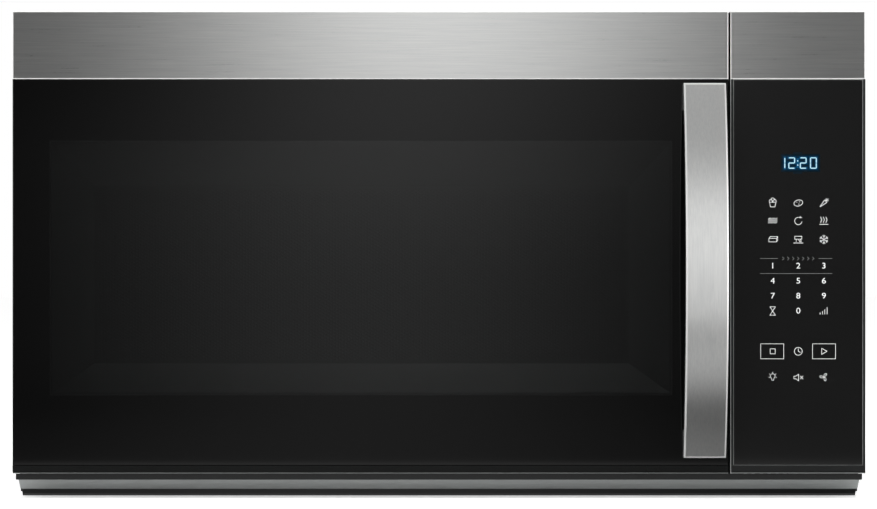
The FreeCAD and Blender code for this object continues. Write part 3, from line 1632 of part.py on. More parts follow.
def panel_frame():
    """Moulded housing of the control panel, open at the rear, with a thin raised edge
    round the glass and a window for the clock."""
    body = new_body("panel_frame")
    x = (panel_left + s.shell_inset, right - s.shell_inset)
    rear = plate_y
    pad(body, "XZ", (glass_back, rear), rect(x, (s.door_low, top - s.steel)))
    wall = s.shell_wall
    inside = inset(x, (s.door_low, top - s.steel), wall)
    pocket(body, "XZ", (glass_back + s.shell_face, rear + 1.0), inside)
    window = rect((clock_x - 24.0, clock_x + 24.0), (clock_z - 13.0, clock_z + 13.0))
    pocket(body, "XZ", (glass_back - 1.0, glass_back + s.shell_face + 1.0), window)
    edges = [
        rect((panel_left, panel_left + panel_edge), (s.door_low, band_low)),
        rect((right - panel_edge, right), (s.door_low, band_low)),
    ]
    pad(body, "XZ", (door_front + 0.4, glass_back + 0.5), *edges)
    strip = [
        (glass_back + 0.5, s.door_low),
        (glass_back + 0.5, trim_top),
        (door_front, trim_top),
        (door_front, s.door_low + 2.0),
        (door_front + 2.0, s.door_low),
    ]
    pad(body, "YZ", (panel_left + panel_edge - 0.2, right - panel_edge + 0.2), strip)
    return piece("panel_frame", body)


def panel_glass():
    """Black touch glass of the control panel."""
    body = new_body("panel_glass")
    x = (panel_left + panel_edge + 1.2, right - panel_edge - 0.8)
    pad(body, "XZ", (door_front, glass_back), rect(x, (trim_top, band_low)))

    def front_edge(edge):
        return near(edge.BoundBox.YMax, door_front) and near(edge.BoundBox.YMin, door_front)

    soften(body, "Chamfer", 0.6, front_edge)
    return piece("panel_glass", body)


def display_module():
    """Clock display behind the glass: a block with four digit wells."""
    body = new_body("display_module")
    x = (clock_x - 22.0, clock_x + 22.0)
    z = (clock_z - 11.0, clock_z + 11.0)
    pad(body, "XZ", (glass_back, glass_back + 12.0), rect(x, z))
    digit_wide, digit_pitch = 6.5, 9.5
    wells = []
    for i in range(4):
        start = clock_x - 18.0 + digit_pitch * i
        wells.append(rect((start, start + digit_wide), (clock_z - 6.0, clock_z + 6.0)))
    pocket(body, "XZ", (glass_back - 1.0, glass_back + 1.5), *wells)
    return piece("display_module", body)


def control_board():
    """Control circuit board with its relays, transformer and touch connector."""
    margin = 14.0
    x = (panel_left + margin, right - margin)
    z = (90.0, top - 70.0)
    front = glass_back + 14.0
    rear = front + 1.6
    sunk = 0.2
    parts = [box(x, (front, rear), z)]
    for i in range(4):
        start = 110.0 + 24.0 * i
        relay_y = (rear - sunk, rear + 14.0)
        parts.append(box((x[0] + 8.0, x[0] + 24.0), relay_y, (start, start + 19.0)))
    parts.append(box((x[1] - 44.0, x[1] - 12.0), (rear - sunk, rear + 16.0), (120.0, 156.0)))
    parts.append(box((x[0] + 20.0, x[0] + 60.0), (rear - sunk, rear + 8.0), (300.0, 308.0)))
    socket_x = (clock_x - 15.0, clock_x + 15.0)
    socket_y = (glass_back + 12.0, front + sunk)
    parts.append(box(socket_x, socket_y, (clock_z - 5.0, clock_z + 5.0)))
    return piece("control_board", fuse(*parts))


# ---- interlock ---------------------------------------------------------------------------

board_x = (hook_x[0] - 6.0, hook_x[1] + 12.0)


def latch_board():
    """Moulded board behind the front plate: it catches the hooks and holds the switches."""
    low, high = hook_places()
    start = plate_y + s.steel
    spine = box(
        (board_x[1], board_x[1] + 3.0),
        (start, start + 42.0),
        (low - 26.0, high + s.hook_high + 26.0),
    )
    parts = [spine]
    lip_y = (plate_y + s.hook_reach - 12.5, plate_y + s.hook_reach - 8.0)
    for hook in (low, high):
        parts.append(box((hook_x[0] - 1.0, board_x[1] + 1.0), lip_y, (hook - 6.5, hook - 0.4)))
        for shelf in (hook - 9.5, hook + s.hook_high + s.hook_travel + 4.0):
            level = (shelf, shelf + 3.0)
            parts.append(box((board_x[0], board_x[1] + 1.0), (start, start + 34.0), level))
    return piece("latch_board", fuse(*parts))


def interlock_switches():
    """Three snap-action switches with their plungers, worked by the hooks."""
    low, high = hook_places()
    rear = plate_y + s.hook_reach + 2.6
    switches = []
    for at in (low - 0.5, high - 0.5, high - 30.0):
        body = box((board_x[0] + 1.0, board_x[1]), (rear + 3.0, rear + 19.0), (at, at + 9.0))
        plunger = box((hook_x[0], hook_x[1]), (rear, rear + 4.0), (at + 3.0, at + 6.0))
        switches.append(fuse(body, plunger))
    return piece("interlock_switches", group(*switches))


def build():
    """Every sub-part, in the order in which the appliance is put together."""
    outer_wrap()
    rear_panel()
    base_pan()
    component_shelf()
    cord_bushing()
    cabinet_screws()
    cavity()
    mica_cover()
    waveguide()
    magnetron()
    hv_transformer()
    hv_capacitor()
    hv_diode()
    thermal_cutouts()
    cavity_lamp()
    fan_shroud()
    fan_motor()
    cooling_fan()
    squirrel_cage("blower_wheel_left", -wheel_end)
    squirrel_cage("blower_wheel_right", wheel_start)
    blower_shaft()
    vent_motor()
    blower_housing()
    vent_grille()
    charcoal_filter()
    for node, ends in filter_places():
        grease_filter(node, ends)
    cooktop_lamp()
    cooktop_lens()
    turntable_motor()
    drive_coupler()
    roller_ring()
    for index in range(3):
        roller_wheel(index)
    glass_tray()
    door_glass()
    steel_band("door_band", (left, door_right), True)
    door_bottom_trim()
    door_shell()
    hinge_bushes()
    hinge("hinge_lower", leaf_low, (leaf_low, leaf_low + s.leaf_thick + s.pin_long))
    hinge("hinge_upper", leaf_top, (leaf_top - s.pin_long, leaf_top + s.leaf_thick))
    door_screen()
    door_inner_frame()
    choke_cover()
    inner_glass()
    door_handle()
    handle_screws()
    latch_hooks()
    latch_spring()
    panel_frame()
    steel_band("panel_band", (panel_left, right), False)
    panel_glass()
    display_module()
    control_board()
    latch_board()
    interlock_switches()


def check():
    """Stops with a message if any object failed or a pocket cut nothing."""
    for thing in doc.Objects:
        if "Invalid" in thing.State or "Error" in thing.State:
            raise RuntimeError(f"{thing.Label} failed: {thing.State}")
        if thing.TypeId == "PartDesign::Pocket":
            before = thing.BaseFeature.Shape.Volume
            if before - thing.Shape.Volume < 1e-3:
                raise RuntimeError(f"{thing.Label} cuts nothing")
    for node, solid in pieces.items():
        shape = solid.Shape
        if shape.isNull() or not shape.isValid() or not shape.Solids:
            raise RuntimeError(f"{node} has no valid shape")


def export():
    """One STEP file for each sub-part."""
    os.makedirs("parts", exist_ok=True)
    for node, solid in pieces.items():
        solid.Shape.exportStep(f"parts/{node}.step")


build()
doc.recompute()
check()
export()
print(f"{len(pieces)} sub-parts")
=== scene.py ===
import math

import bmesh
import bpy
from mathutils import Matrix, Vector


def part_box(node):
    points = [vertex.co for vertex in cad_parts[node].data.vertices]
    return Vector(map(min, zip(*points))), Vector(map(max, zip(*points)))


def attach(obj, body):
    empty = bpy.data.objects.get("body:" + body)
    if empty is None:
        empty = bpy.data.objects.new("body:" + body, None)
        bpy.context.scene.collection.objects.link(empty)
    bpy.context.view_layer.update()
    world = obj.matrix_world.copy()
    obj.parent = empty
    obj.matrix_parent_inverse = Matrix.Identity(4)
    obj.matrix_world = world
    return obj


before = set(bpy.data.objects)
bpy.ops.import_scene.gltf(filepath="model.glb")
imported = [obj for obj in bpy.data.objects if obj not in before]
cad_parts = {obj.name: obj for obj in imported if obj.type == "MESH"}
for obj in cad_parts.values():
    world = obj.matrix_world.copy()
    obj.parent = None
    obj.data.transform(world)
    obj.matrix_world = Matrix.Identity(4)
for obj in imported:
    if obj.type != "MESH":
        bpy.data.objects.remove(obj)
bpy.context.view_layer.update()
MM = 0.001


# ---- camera ------------------------------------------------------------------------------
# A long lens, straight in front of the door and level, three metres from the glass. Its
# focal length is given in pixels of a frame that is 877 wide.

glass_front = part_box("door_glass")[0][1]
camera_back = 3.0
camera_aside = -0.4 * MM
camera_height = 218.0 * MM
focal_px, frame_px = 3368.0, 877.0

lens = bpy.data.cameras.new("camera")
lens.sensor_width = 36.0
lens.lens = focal_px / frame_px * lens.sensor_width
camera = bpy.data.objects.new("camera", lens)
camera.location = (camera_aside, glass_front - camera_back, camera_height)
camera.rotation_euler = (math.radians(90.0), 0.0, 0.0)
bpy.context.scene.collection.objects.link(camera)
bpy.context.scene.camera = camera
bpy.context.scene.view_settings.view_transform = "Standard"


# ---- floor -------------------------------------------------------------------------------
# Matt white studio paper, lit to just under white, so that the soft shadow under the
# cabinet stays. Its own colour brings the rest of it to white.

def srgb(text):
    """An sRGB hex colour as linear RGBA."""
    values = [int(text[i:i + 2], 16) / 255 for i in (1, 3, 5)]
    linear = [v / 12.92 if v <= 0.04045 else ((v + 0.055) / 1.055) ** 2.4 for v in values]
    return (*linear, 1.0)


def add(tree, kind, settings=None, **links):
    """Adds a node. The settings are its properties, its input values by name or by _number,
    and the two colours of a ramp. The links go into its inputs, from an output or from the
    first output of a node."""
    node = tree.nodes.new(f"ShaderNode{kind}")
    for name, value in (settings or {}).items():
        if name == "ramp":
            for stop, colour in zip(node.color_ramp.elements, value):
                stop.color = srgb(colour)
        elif hasattr(node, name):
            setattr(node, name, value)
        else:
            key = int(name[1:]) if name[0] == "_" else name
            node.inputs[key].default_value = value
    for name, source in links.items():
        key = int(name[1:]) if name[0] == "_" else name.replace("_", " ")
        if isinstance(source, bpy.types.Node):
            source = source.outputs[0]
        tree.links.new(source, node.inputs[key])
    return node


def new_material(name):
    """A new material and its empty node tree."""
    material = bpy.data.materials.new(name)
    material.use_nodes = True
    tree = material.node_tree
    tree.nodes.clear()
    return material, tree


def mesh_object(name, shape, *materials):
    """A finished bmesh as an object at the origin."""
    mesh = bpy.data.meshes.new(name)
    shape.to_mesh(mesh)
    shape.free()
    piece = bpy.data.objects.new(name, mesh)
    bpy.context.scene.collection.objects.link(piece)
    for material in materials:
        mesh.materials.append(material)
    return piece


# matt paper: an even white without gloss, lifted to full white where it is seen
paper, tree = new_material("matt_studio_paper")
sheet = add(tree, "BsdfDiffuse", {"Color": srgb("#F4F4F4")})
lift = add(tree, "Emission", {"Color": (1.0, 1.0, 1.0, 1.0), "Strength": 0.42})
ray = add(tree, "LightPath")
seen = add(tree, "Math", {"operation": "MAXIMUM"},
           _0=ray.outputs["Is Camera Ray"], _1=ray.outputs["Is Glossy Ray"])
seen = add(tree, "Math", {"operation": "MAXIMUM"},
           _0=seen, _1=ray.outputs["Is Transmission Ray"])
lit = add(tree, "AddShader", _0=sheet, _1=lift)
mixed = add(tree, "MixShader", _0=seen, _1=sheet, _2=lit)
add(tree, "OutputMaterial", Surface=mixed)

shape = bmesh.new()
bmesh.ops.create_circle(shape, cap_ends=True, segments=96, radius=14.0)
floor = mesh_object("floor", shape, paper)


# ---- studio light ------------------------------------------------------------------------
# An even white surround, a large soft light above and in front, and the dim front half of
# the studio with its soft boxes, which only shows in what is polished.

# the surround gives a soft light, and full white where the lens, steel or glass sees it
world = bpy.data.worlds.new("studio")
world.use_nodes = True
tree = world.node_tree
tree.nodes.clear()
dim = add(tree, "Background", {"Color": (1.0, 1.0, 1.0, 1.0), "Strength": 0.62})
plain = add(tree, "Background", {"Color": (1.0, 1.0, 1.0, 1.0), "Strength": 1.0})
ray = add(tree, "LightPath")
seen = add(tree, "Math", {"operation": "MAXIMUM"},
           _0=ray.outputs["Is Camera Ray"], _1=ray.outputs["Is Glossy Ray"])
seen = add(tree, "Math", {"operation": "MAXIMUM"},
           _0=seen, _1=ray.outputs["Is Transmission Ray"])
mixed = add(tree, "MixShader", _0=seen, _1=dim, _2=plain)
add(tree, "OutputWorld", Surface=mixed)
bpy.context.scene.world = world


def area_light(name, place, aim, size, power):
    """A soft box at a place, aimed at a point."""
    lamp = bpy.data.lights.new(name, "AREA")
    lamp.shape = "RECTANGLE"
    lamp.size, lamp.size_y = size
    lamp.energy = power
    holder = bpy.data.objects.new(name, lamp)
    holder.location = place
    holder.rotation_euler = (Vector(aim) - Vector(place)).to_track_quat("-Z", "Y").to_euler()
    holder.visible_glossy = False
    bpy.context.scene.collection.objects.link(holder)


# place, aim, width and height in metres, and power in watts
area_light("light_above", (0.0, -1.5, 2.6), (0.0, -0.2, 0.2), (2.6, 2.0), 60.0)
area_light("light_left", (-2.6, -2.0, 1.5), (0.0, -0.2, 0.2), (1.6, 1.6), 26.0)
area_light("light_right", (2.6, -2.0, 1.5), (0.0, -0.2, 0.2), (1.6, 1.6), 22.0)

studio_radius = 2.2
studio_height = 2.6
studio_near = -0.46  # its open edge, just in front of the handle
glow_width, glow_strength = 0.36, 2.3
box_height, box_spread, box_strength = 0.34, 0.40, 3.0
left_box, right_box = 0.62, 1.2
stray_light = 0.035

studio, tree = new_material("dim_studio_front")
where = add(tree, "TexCoord").outputs["Object"]
parts = add(tree, "SeparateXYZ", Vector=where)
across, depth, up = (parts.outputs[axis] for axis in "XYZ")
# a bell-shaped glow behind the camera, brighter above what the flat glass mirrors
aside = add(tree, "MapRange", {"From Min": 0.2, "From Max": 0.7, "To Min": 0.09, "To Max": 0.0},
            Value=up)
bell = add(tree, "Math", {"operation": "ADD"}, _0=across, _1=aside)
# its left side falls off faster higher up, where only the brushed band picks it up
steep = add(tree, "MapRange", {"From Min": -0.12, "From Max": 0.0, "To Min": 0.14, "To Max": 0.0},
            Value=across)
upper = add(tree, "MapRange", {"From Min": 0.36, "From Max": 0.5}, Value=up)
steep = add(tree, "Math", {"operation": "MULTIPLY"}, _0=steep, _1=upper)
steep = add(tree, "Math", {"operation": "MULTIPLY_ADD", "_1": 1 / glow_width,
                           "_2": 1 / glow_width}, _0=steep)
bell = add(tree, "Math", {"operation": "MULTIPLY"}, _0=bell, _1=steep)
bell = add(tree, "Math", {"operation": "ABSOLUTE"}, _0=bell)
bell = add(tree, "Math", {"operation": "POWER", "_1": 2.0}, _0=bell)
bell = add(tree, "Math", {"operation": "MULTIPLY", "_1": -1.0}, _0=bell)
bell = add(tree, "Math", {"operation": "EXPONENT"}, _0=bell)
height = add(tree, "MapRange", {"From Max": 2.0}, Value=up)
height = add(tree, "ValToRGB", Fac=height)
ramp = height.color_ramp
ramp.interpolation = "EASE"
ramp.elements[0].color = (0.10, 0.10, 0.10, 1.0)
ramp.elements[1].color = (0.8, 0.8, 0.8, 1.0)
for place, grey in ((0.05, 0.14), (0.25, 0.26), (0.36, 1.0), (0.8, 1.0)):
    ramp.elements.new(place).color = (grey, grey, grey, 1.0)
# two tall soft boxes that run round the sides, and come nearer on the studio's floor
wall = add(tree, "MapRange", {"From Min": 0.003, "From Max": 0.02}, Value=up)
side = add(tree, "Math", {"operation": "ABSOLUTE"}, _0=across)
nearer = add(tree, "MapRange", {"From Min": -1.85, "From Max": -1.6, "To Min": 0.06, "To Max": 0.2},
             Value=depth)
nearer = add(tree, "Mix", {"data_type": "FLOAT", "_3": 0.0}, _0=wall, _2=nearer)
side = add(tree, "Math", {"operation": "ADD"}, _0=side, _1=nearer)
boxes = add(tree, "MapRange", {"interpolation_type": "SMOOTHSTEP", "From Min": 0.7,
                               "From Max": 1.1}, Value=side)
# the floor darkens towards the cabinet's foot, past a lit strip that only steel shows
foot = add(tree, "MapRange", {"interpolation_type": "SMOOTHSTEP", "From Min": -0.55,
                              "From Max": -0.95, "To Min": 0.12, "To Max": 2.0}, Value=depth)
foot = add(tree, "Mix", {"data_type": "FLOAT", "_3": 1.0}, _0=wall, _2=foot)
strip = add(tree, "MapRange", {"interpolation_type": "SMOOTHSTEP", "From Min": -0.52,
                               "From Max": -0.68, "To Max": 0.5}, Value=depth)
strip_end = add(tree, "MapRange", {"interpolation_type": "SMOOTHSTEP", "From Min": -0.80,
                                   "From Max": -0.95, "To Min": 1.0, "To Max": 0.0}, Value=depth)
strip = add(tree, "Math", {"operation": "MULTIPLY"}, _0=strip, _1=strip_end)
flat = add(tree, "MapRange", {"To Min": 1.0, "To Max": 0.0}, Value=wall)
strip = add(tree, "Math", {"operation": "MULTIPLY"}, _0=strip, _1=flat)
glow = add(tree, "Math", {"operation": "MULTIPLY"}, _0=bell, _1=height)
glow = add(tree, "Math", {"operation": "MULTIPLY_ADD", "_1": glow_strength}, _0=glow, _2=strip)
# the boxes are brightest at the height of the door, and the right one is the stronger
level = add(tree, "Math", {"operation": "ADD", "_1": -box_height}, _0=up)
level = add(tree, "Math", {"operation": "MULTIPLY", "_1": 1 / box_spread}, _0=level)
level = add(tree, "Math", {"operation": "MULTIPLY"}, _0=level, _1=level)
level = add(tree, "Math", {"operation": "MULTIPLY", "_1": -1.0}, _0=level)
level = add(tree, "Math", {"operation": "EXPONENT"}, _0=level)
level = add(tree, "Math", {"operation": "MULTIPLY_ADD", "_1": box_strength, "_2": 0.15}, _0=level)
tall = add(tree, "Math", {"operation": "MULTIPLY"}, _0=boxes, _1=foot)
tall = add(tree, "Math", {"operation": "MULTIPLY"}, _0=tall, _1=level)
stronger = add(tree, "MapRange", {"From Min": -0.2, "From Max": 0.2, "To Min": left_box,
                                  "To Max": right_box}, Value=across)
tall = add(tree, "Math", {"operation": "MULTIPLY"}, _0=tall, _1=stronger)
total = add(tree, "Math", {"operation": "ADD"}, _0=glow, _1=tall)
total = add(tree, "Math", {"operation": "ADD", "_1": stray_light}, _0=total)
card = add(tree, "Emission", {"Color": (1.0, 1.0, 1.0, 1.0)}, Strength=total)
add(tree, "OutputMaterial", Surface=card)

# a half round of floor, just over the paper, with its rim drawn up into a wall
floor_z = 2.0 * MM
shape = bmesh.new()
rim = [shape.verts.new((studio_radius * math.cos(math.radians(a)),
                        studio_radius * math.sin(math.radians(a)), floor_z))
       for a in range(180, 361, 3)]
edges = [shape.edges.new(pair) for pair in zip(rim, rim[1:])]
raised = bmesh.ops.extrude_edge_only(shape, edges=edges)["geom"]
bmesh.ops.translate(shape, vec=(0.0, 0.0, studio_height),
                    verts=[v for v in raised if isinstance(v, bmesh.types.BMVert)])
near_edge = [shape.verts.new((x, studio_near, floor_z)) for x in (studio_radius, -studio_radius)]
shape.faces.new(rim + near_edge)
studio_front = mesh_object("studio_front", shape, studio)
for ray_kind in ("camera", "diffuse", "shadow", "volume_scatter"):
    setattr(studio_front, f"visible_{ray_kind}", False)


# ---- outer wrap --------------------------------------------------------------------------
# The cabinet's top and sides: one folded steel sheet with a baked black powder coat.

def dress(node, *materials):
    """Puts materials in the slots of a CAD node."""
    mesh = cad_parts[node].data
    mesh.materials.clear()
    for material in materials:
        mesh.materials.append(material)


# powder coat: a fine orange peel that breaks up the reflections
powder, tree = new_material("black_powder_coat")
where = add(tree, "TexCoord").outputs["Object"]
peel = add(tree, "TexNoise", {"Scale": 900.0, "Detail": 3.0}, Vector=where)
dust = add(tree, "TexNoise", {"Scale": 14.0, "Detail": 4.0}, Vector=where)
sheen = add(tree, "MapRange", {"To Min": 0.34, "To Max": 0.46}, Value=dust)
bump = add(tree, "Bump", {"Strength": 0.22, "Distance": 0.2 * MM}, Height=peel)
shade = add(tree, "ValToRGB", {"ramp": ("#1C1D1E", "#262728")}, Fac=dust)
skin = add(tree, "BsdfPrincipled", Base_Color=shade,
           Roughness=sheen, Normal=bump)
add(tree, "OutputMaterial", Surface=skin)
dress("outer_wrap", powder)


# ---- rear panel and inner sheet metal ----------------------------------------------------
# Hot-dip zinc-coated sheet, left bare where the cupboard and wall hide it: the rear wall,
# the electrics shelf, the fan shroud, the waveguide and the blower's scrolls.

# zinc coat: crystals of a few millimetres, each with its own tone and gloss
zinc, tree = new_material("zinc_coated_sheet")
where = add(tree, "TexCoord").outputs["Object"]
bend = add(tree, "TexNoise", {"Scale": 60.0, "Detail": 2.0}, Vector=where)
drift = add(tree, "VectorMath", {"operation": "MULTIPLY_ADD", "_1": [8.0 * MM] * 3},
            _0=bend.outputs["Color"], _2=where)
crystal = add(tree, "TexVoronoi", {"Scale": 190.0}, Vector=drift)
tone = add(tree, "SeparateColor", Color=crystal.outputs["Color"])
shade = add(tree, "ValToRGB", {"ramp": ("#9FA4A6", "#C3C8C9")}, Fac=tone.outputs["Red"])
gloss = add(tree, "MapRange", {"To Min": 0.36, "To Max": 0.56}, Value=tone.outputs["Green"])
skin = add(tree, "BsdfPrincipled", {"Metallic": 0.85}, Base_Color=shade,
           Roughness=gloss)
add(tree, "OutputMaterial", Surface=skin)
for node in ("rear_panel", "component_shelf", "waveguide", "fan_shroud", "blower_housing"):
    dress(node, zinc)


# ---- base pan ----------------------------------------------------------------------------
# The underside: a pressed steel pan in light grey baked enamel. Its leaning front lip is
# the pale strip that shows under the door; the rest of the pan and the apron over the lip
# carry painted shade in near black.

# baked enamel: smooth and satin, with a soft drift in its gloss
lip_foot = -355.0 * MM
lip_top = 15.3 * MM
grey_enamel, tree = new_material("grey_baked_enamel")
where = add(tree, "TexCoord").outputs["Object"]
peel = add(tree, "TexNoise", {"Scale": 420.0, "Detail": 2.0}, Vector=where)
streak = add(tree, "Mapping", {"Scale": (3.0, 90.0, 260.0)}, Vector=where)
line = add(tree, "TexNoise", {"Scale": 4.0, "Detail": 3.0}, Vector=streak)
shade = add(tree, "ValToRGB", {"ramp": ("#B2B6B5", "#C4C7C6")}, Fac=line)
bump = add(tree, "Bump", {"Strength": 0.08, "Distance": 0.3 * MM}, Height=peel)
# only the lip has the light coat; the underside and the apron over the lip are painted near black,
# painted shade for the shadow under the cabinet and under the door
parts = add(tree, "SeparateXYZ", Vector=where)
behind = add(tree, "MapRange", {"From Min": lip_foot, "From Max": lip_foot + 0.4 * MM},
             Value=parts.outputs["Y"])
above = add(tree, "MapRange", {"From Min": lip_top, "From Max": lip_top + 0.2 * MM},
            Value=parts.outputs["Z"])
painted_shade = add(tree, "Math", {"operation": "MAXIMUM"}, _0=behind, _1=above)
colour = add(tree, "Mix", {"data_type": "RGBA", "_7": srgb("#1B1C1C")},
             _0=painted_shade, _6=shade)
skin = add(tree, "BsdfPrincipled", {"Roughness": 0.32, "Coat Weight": 0.3, "Coat Roughness": 0.15},
           Base_Color=colour.outputs[2], Normal=bump)
add(tree, "OutputMaterial", Surface=skin)
dress("base_pan", grey_enamel)


# ---- cord bushing ------------------------------------------------------------------------
# A rubber bushing in the cabinet's top, where the supply cord goes up into the cupboard.

# moulded rubber: matt, with a slight bloom
rubber, tree = new_material("moulded_black_rubber")
where = add(tree, "TexCoord").outputs["Object"]
bloom = add(tree, "TexNoise", {"Scale": 220.0, "Detail": 4.0}, Vector=where)
shade = add(tree, "ValToRGB", {"ramp": ("#1B1B1B", "#2C2C2C")}, Fac=bloom)
bump = add(tree, "Bump", {"Strength": 0.2, "Distance": 0.3 * MM}, Height=bloom)
skin = add(tree, "BsdfPrincipled", {"Roughness": 0.78}, Base_Color=shade,
           Normal=bump)
add(tree, "OutputMaterial", Surface=skin)
dress("cord_bushing", rubber)


# ---- screws, shafts and hinges -----------------------------------------------------------
# Turned or pressed mild steel with a clear zinc wash: screws, the two hinge leaves with
# their pins, the blower shaft, the motor cans and the latch spring.

# zinc-washed steel: fine tool marks and a faint warm and cool drift
steel, tree = new_material("zinc_washed_steel")
where = add(tree, "TexCoord").outputs["Object"]
turn = add(tree, "Mapping", {"Scale": (1.0, 1.0, 9.0)}, Vector=where)
marks = add(tree, "TexNoise", {"Scale": 500.0, "Detail": 3.0}, Vector=turn)
drift = add(tree, "TexNoise", {"Scale": 25.0, "Detail": 2.0}, Vector=where)
shade = add(tree, "ValToRGB", {"ramp": ("#A9ABAD", "#C9C7BE")}, Fac=drift)
gloss = add(tree, "MapRange", {"To Min": 0.22, "To Max": 0.42}, Value=marks)
bump = add(tree, "Bump", {"Strength": 0.12, "Distance": 0.1 * MM}, Height=marks)
skin = add(tree, "BsdfPrincipled", {"Metallic": 1.0}, Base_Color=shade,
           Roughness=gloss, Normal=bump)
add(tree, "OutputMaterial", Surface=skin)
for node in ("cabinet_screws", "handle_screws", "hinge_lower", "hinge_upper", "latch_spring",
             "blower_shaft", "vent_motor", "turntable_motor"):
    dress(node, steel)


# ---- oven cavity -------------------------------------------------------------------------
# The welded oven box and its front plate, in speckled grey oven enamel; the front plate's face
# is painted black as painted shade.

# oven enamel: glossy, light grey with fine darker and paler specks
plate_rear = -358.4 * MM
oven_enamel, tree = new_material("speckled_oven_enamel")
where = add(tree, "TexCoord").outputs["Object"]
speck = add(tree, "TexVoronoi", {"Scale": 520.0, "Randomness": 1.0}, Vector=where)
dots = add(tree, "MapRange", {"From Min": 0.16, "From Max": 0.24}, Value=speck)
tone = add(tree, "SeparateColor", Color=speck.outputs["Color"])
fleck = add(tree, "ValToRGB", {"ramp": ("#7E8283", "#D8DADA")}, Fac=tone.outputs["Red"])
ground = add(tree, "Mix", {"data_type": "RGBA", "_7": srgb("#B9BCBC")},
             _0=dots, _6=fleck)
wave = add(tree, "TexNoise", {"Scale": 30.0, "Detail": 2.0}, Vector=where)
bump = add(tree, "Bump", {"Strength": 0.06, "Distance": 1.0 * MM}, Height=wave)
# the front plate that the door closes on is painted black, painted shade for the dark recess under
# the door
parts = add(tree, "SeparateXYZ", Vector=where)
plate_shade = add(tree, "MapRange", {"From Min": plate_rear - 0.4 * MM, "From Max": plate_rear,
                               "To Min": 1.0, "To Max": 0.0}, Value=parts.outputs["Y"])
colour = add(tree, "Mix", {"data_type": "RGBA", "_7": srgb("#131414")},
             _0=plate_shade, _6=ground.outputs[2])
skin = add(tree, "BsdfPrincipled", {"Roughness": 0.28, "Coat Weight": 0.4, "Coat Roughness": 0.1},
           Base_Color=colour.outputs[2], Normal=bump)
add(tree, "OutputMaterial", Surface=skin)
dress("cavity", oven_enamel)


# ---- waveguide cover ---------------------------------------------------------------------
# A sheet of pressed mica over the waveguide's port, inside the oven.

# mica: layered flakes, brownish silver, each flake with its own gloss
mica, tree = new_material("pressed_mica")
where = add(tree, "TexCoord").outputs["Object"]
flake = add(tree, "TexVoronoi", {"Scale": 260.0}, Vector=where)
tone = add(tree, "SeparateColor", Color=flake.outputs["Color"])
shade = add(tree, "ValToRGB", {"ramp": ("#A8987A", "#D2C5A8")}, Fac=tone.outputs["Red"])
gloss = add(tree, "MapRange", {"To Min": 0.3, "To Max": 0.6}, Value=tone.outputs["Green"])
skin = add(tree, "BsdfPrincipled", Base_Color=shade,
           Roughness=gloss)
add(tree, "OutputMaterial", Surface=skin)
dress("mica_cover", mica)


# ---- magnetron, transformer and motors' cores --------------------------------------------
# The magnetron's zinc-plated yoke and fins, and the varnished laminations with their
# wound copper, all hidden in the bay on the right of the oven.

# plated yoke: bright zinc, slightly heat-tinted towards straw
plated, tree = new_material("bright_plated_steel")
where = add(tree, "TexCoord").outputs["Object"]
heat = add(tree, "TexNoise", {"Scale": 34.0, "Detail": 3.0}, Vector=where)
shade = add(tree, "ValToRGB", {"ramp": ("#B5B7B8", "#C6BBA0")}, Fac=heat)
gloss = add(tree, "MapRange", {"To Min": 0.25, "To Max": 0.45}, Value=heat)
skin = add(tree, "BsdfPrincipled", {"Metallic": 1.0}, Base_Color=shade,
           Roughness=gloss)
add(tree, "OutputMaterial", Surface=skin)
for node in ("magnetron", "blower_wheel_left", "blower_wheel_right"):
    dress(node, plated)

# laminations: half-millimetre sheets on edge under dark varnish; the windings' enamelled copper
# has the same varnish here
sheet_pitch = 1.0 * MM  # twice the real one, so that it shows
laminated, tree = new_material("varnished_laminations")
where = add(tree, "TexCoord").outputs["Object"]
parts = add(tree, "SeparateXYZ", Vector=where)
layers = add(tree, "Math", {"operation": "MULTIPLY", "_1": 2 * math.pi / sheet_pitch},
             _0=parts.outputs["X"])
layers = add(tree, "Math", {"operation": "SINE"}, _0=layers)
varnish = add(tree, "TexNoise", {"Scale": 70.0, "Detail": 3.0}, Vector=where)
shade = add(tree, "ValToRGB", {"ramp": ("#3A2E28", "#5B4234")}, Fac=varnish)
bump = add(tree, "Bump", {"Strength": 0.3, "Distance": 0.2 * MM}, Height=layers)
skin = add(tree, "BsdfPrincipled", {"Metallic": 0.3, "Roughness": 0.4, "Coat Weight": 0.3},
           Base_Color=shade, Normal=bump)
add(tree, "OutputMaterial", Surface=skin)
for node in ("hv_transformer", "fan_motor"):
    dress(node, laminated)


# ---- capacitor and grease filters --------------------------------------------------------
# The capacitor's drawn can and the two grease filters: an aluminium channel frame round
# layers of pleated expanded aluminium mesh, which clip into the base pan.

# mill aluminium: fine rolling lines and a soft bright grey
mill_aluminium, tree = new_material("mill_finish_aluminium")
where = add(tree, "TexCoord").outputs["Object"]
rolled = add(tree, "Mapping", {"Scale": (6.0, 260.0, 260.0)}, Vector=where)
lines = add(tree, "TexNoise", {"Scale": 5.0, "Detail": 3.0}, Vector=rolled)
shade = add(tree, "ValToRGB", {"ramp": ("#B4B6B8", "#D3D5D6")}, Fac=lines)
gloss = add(tree, "MapRange", {"To Min": 0.3, "To Max": 0.5}, Value=lines)
skin = add(tree, "BsdfPrincipled", {"Metallic": 1.0}, Base_Color=shade,
           Roughness=gloss)
add(tree, "OutputMaterial", Surface=skin)
dress("hv_capacitor", mill_aluminium)
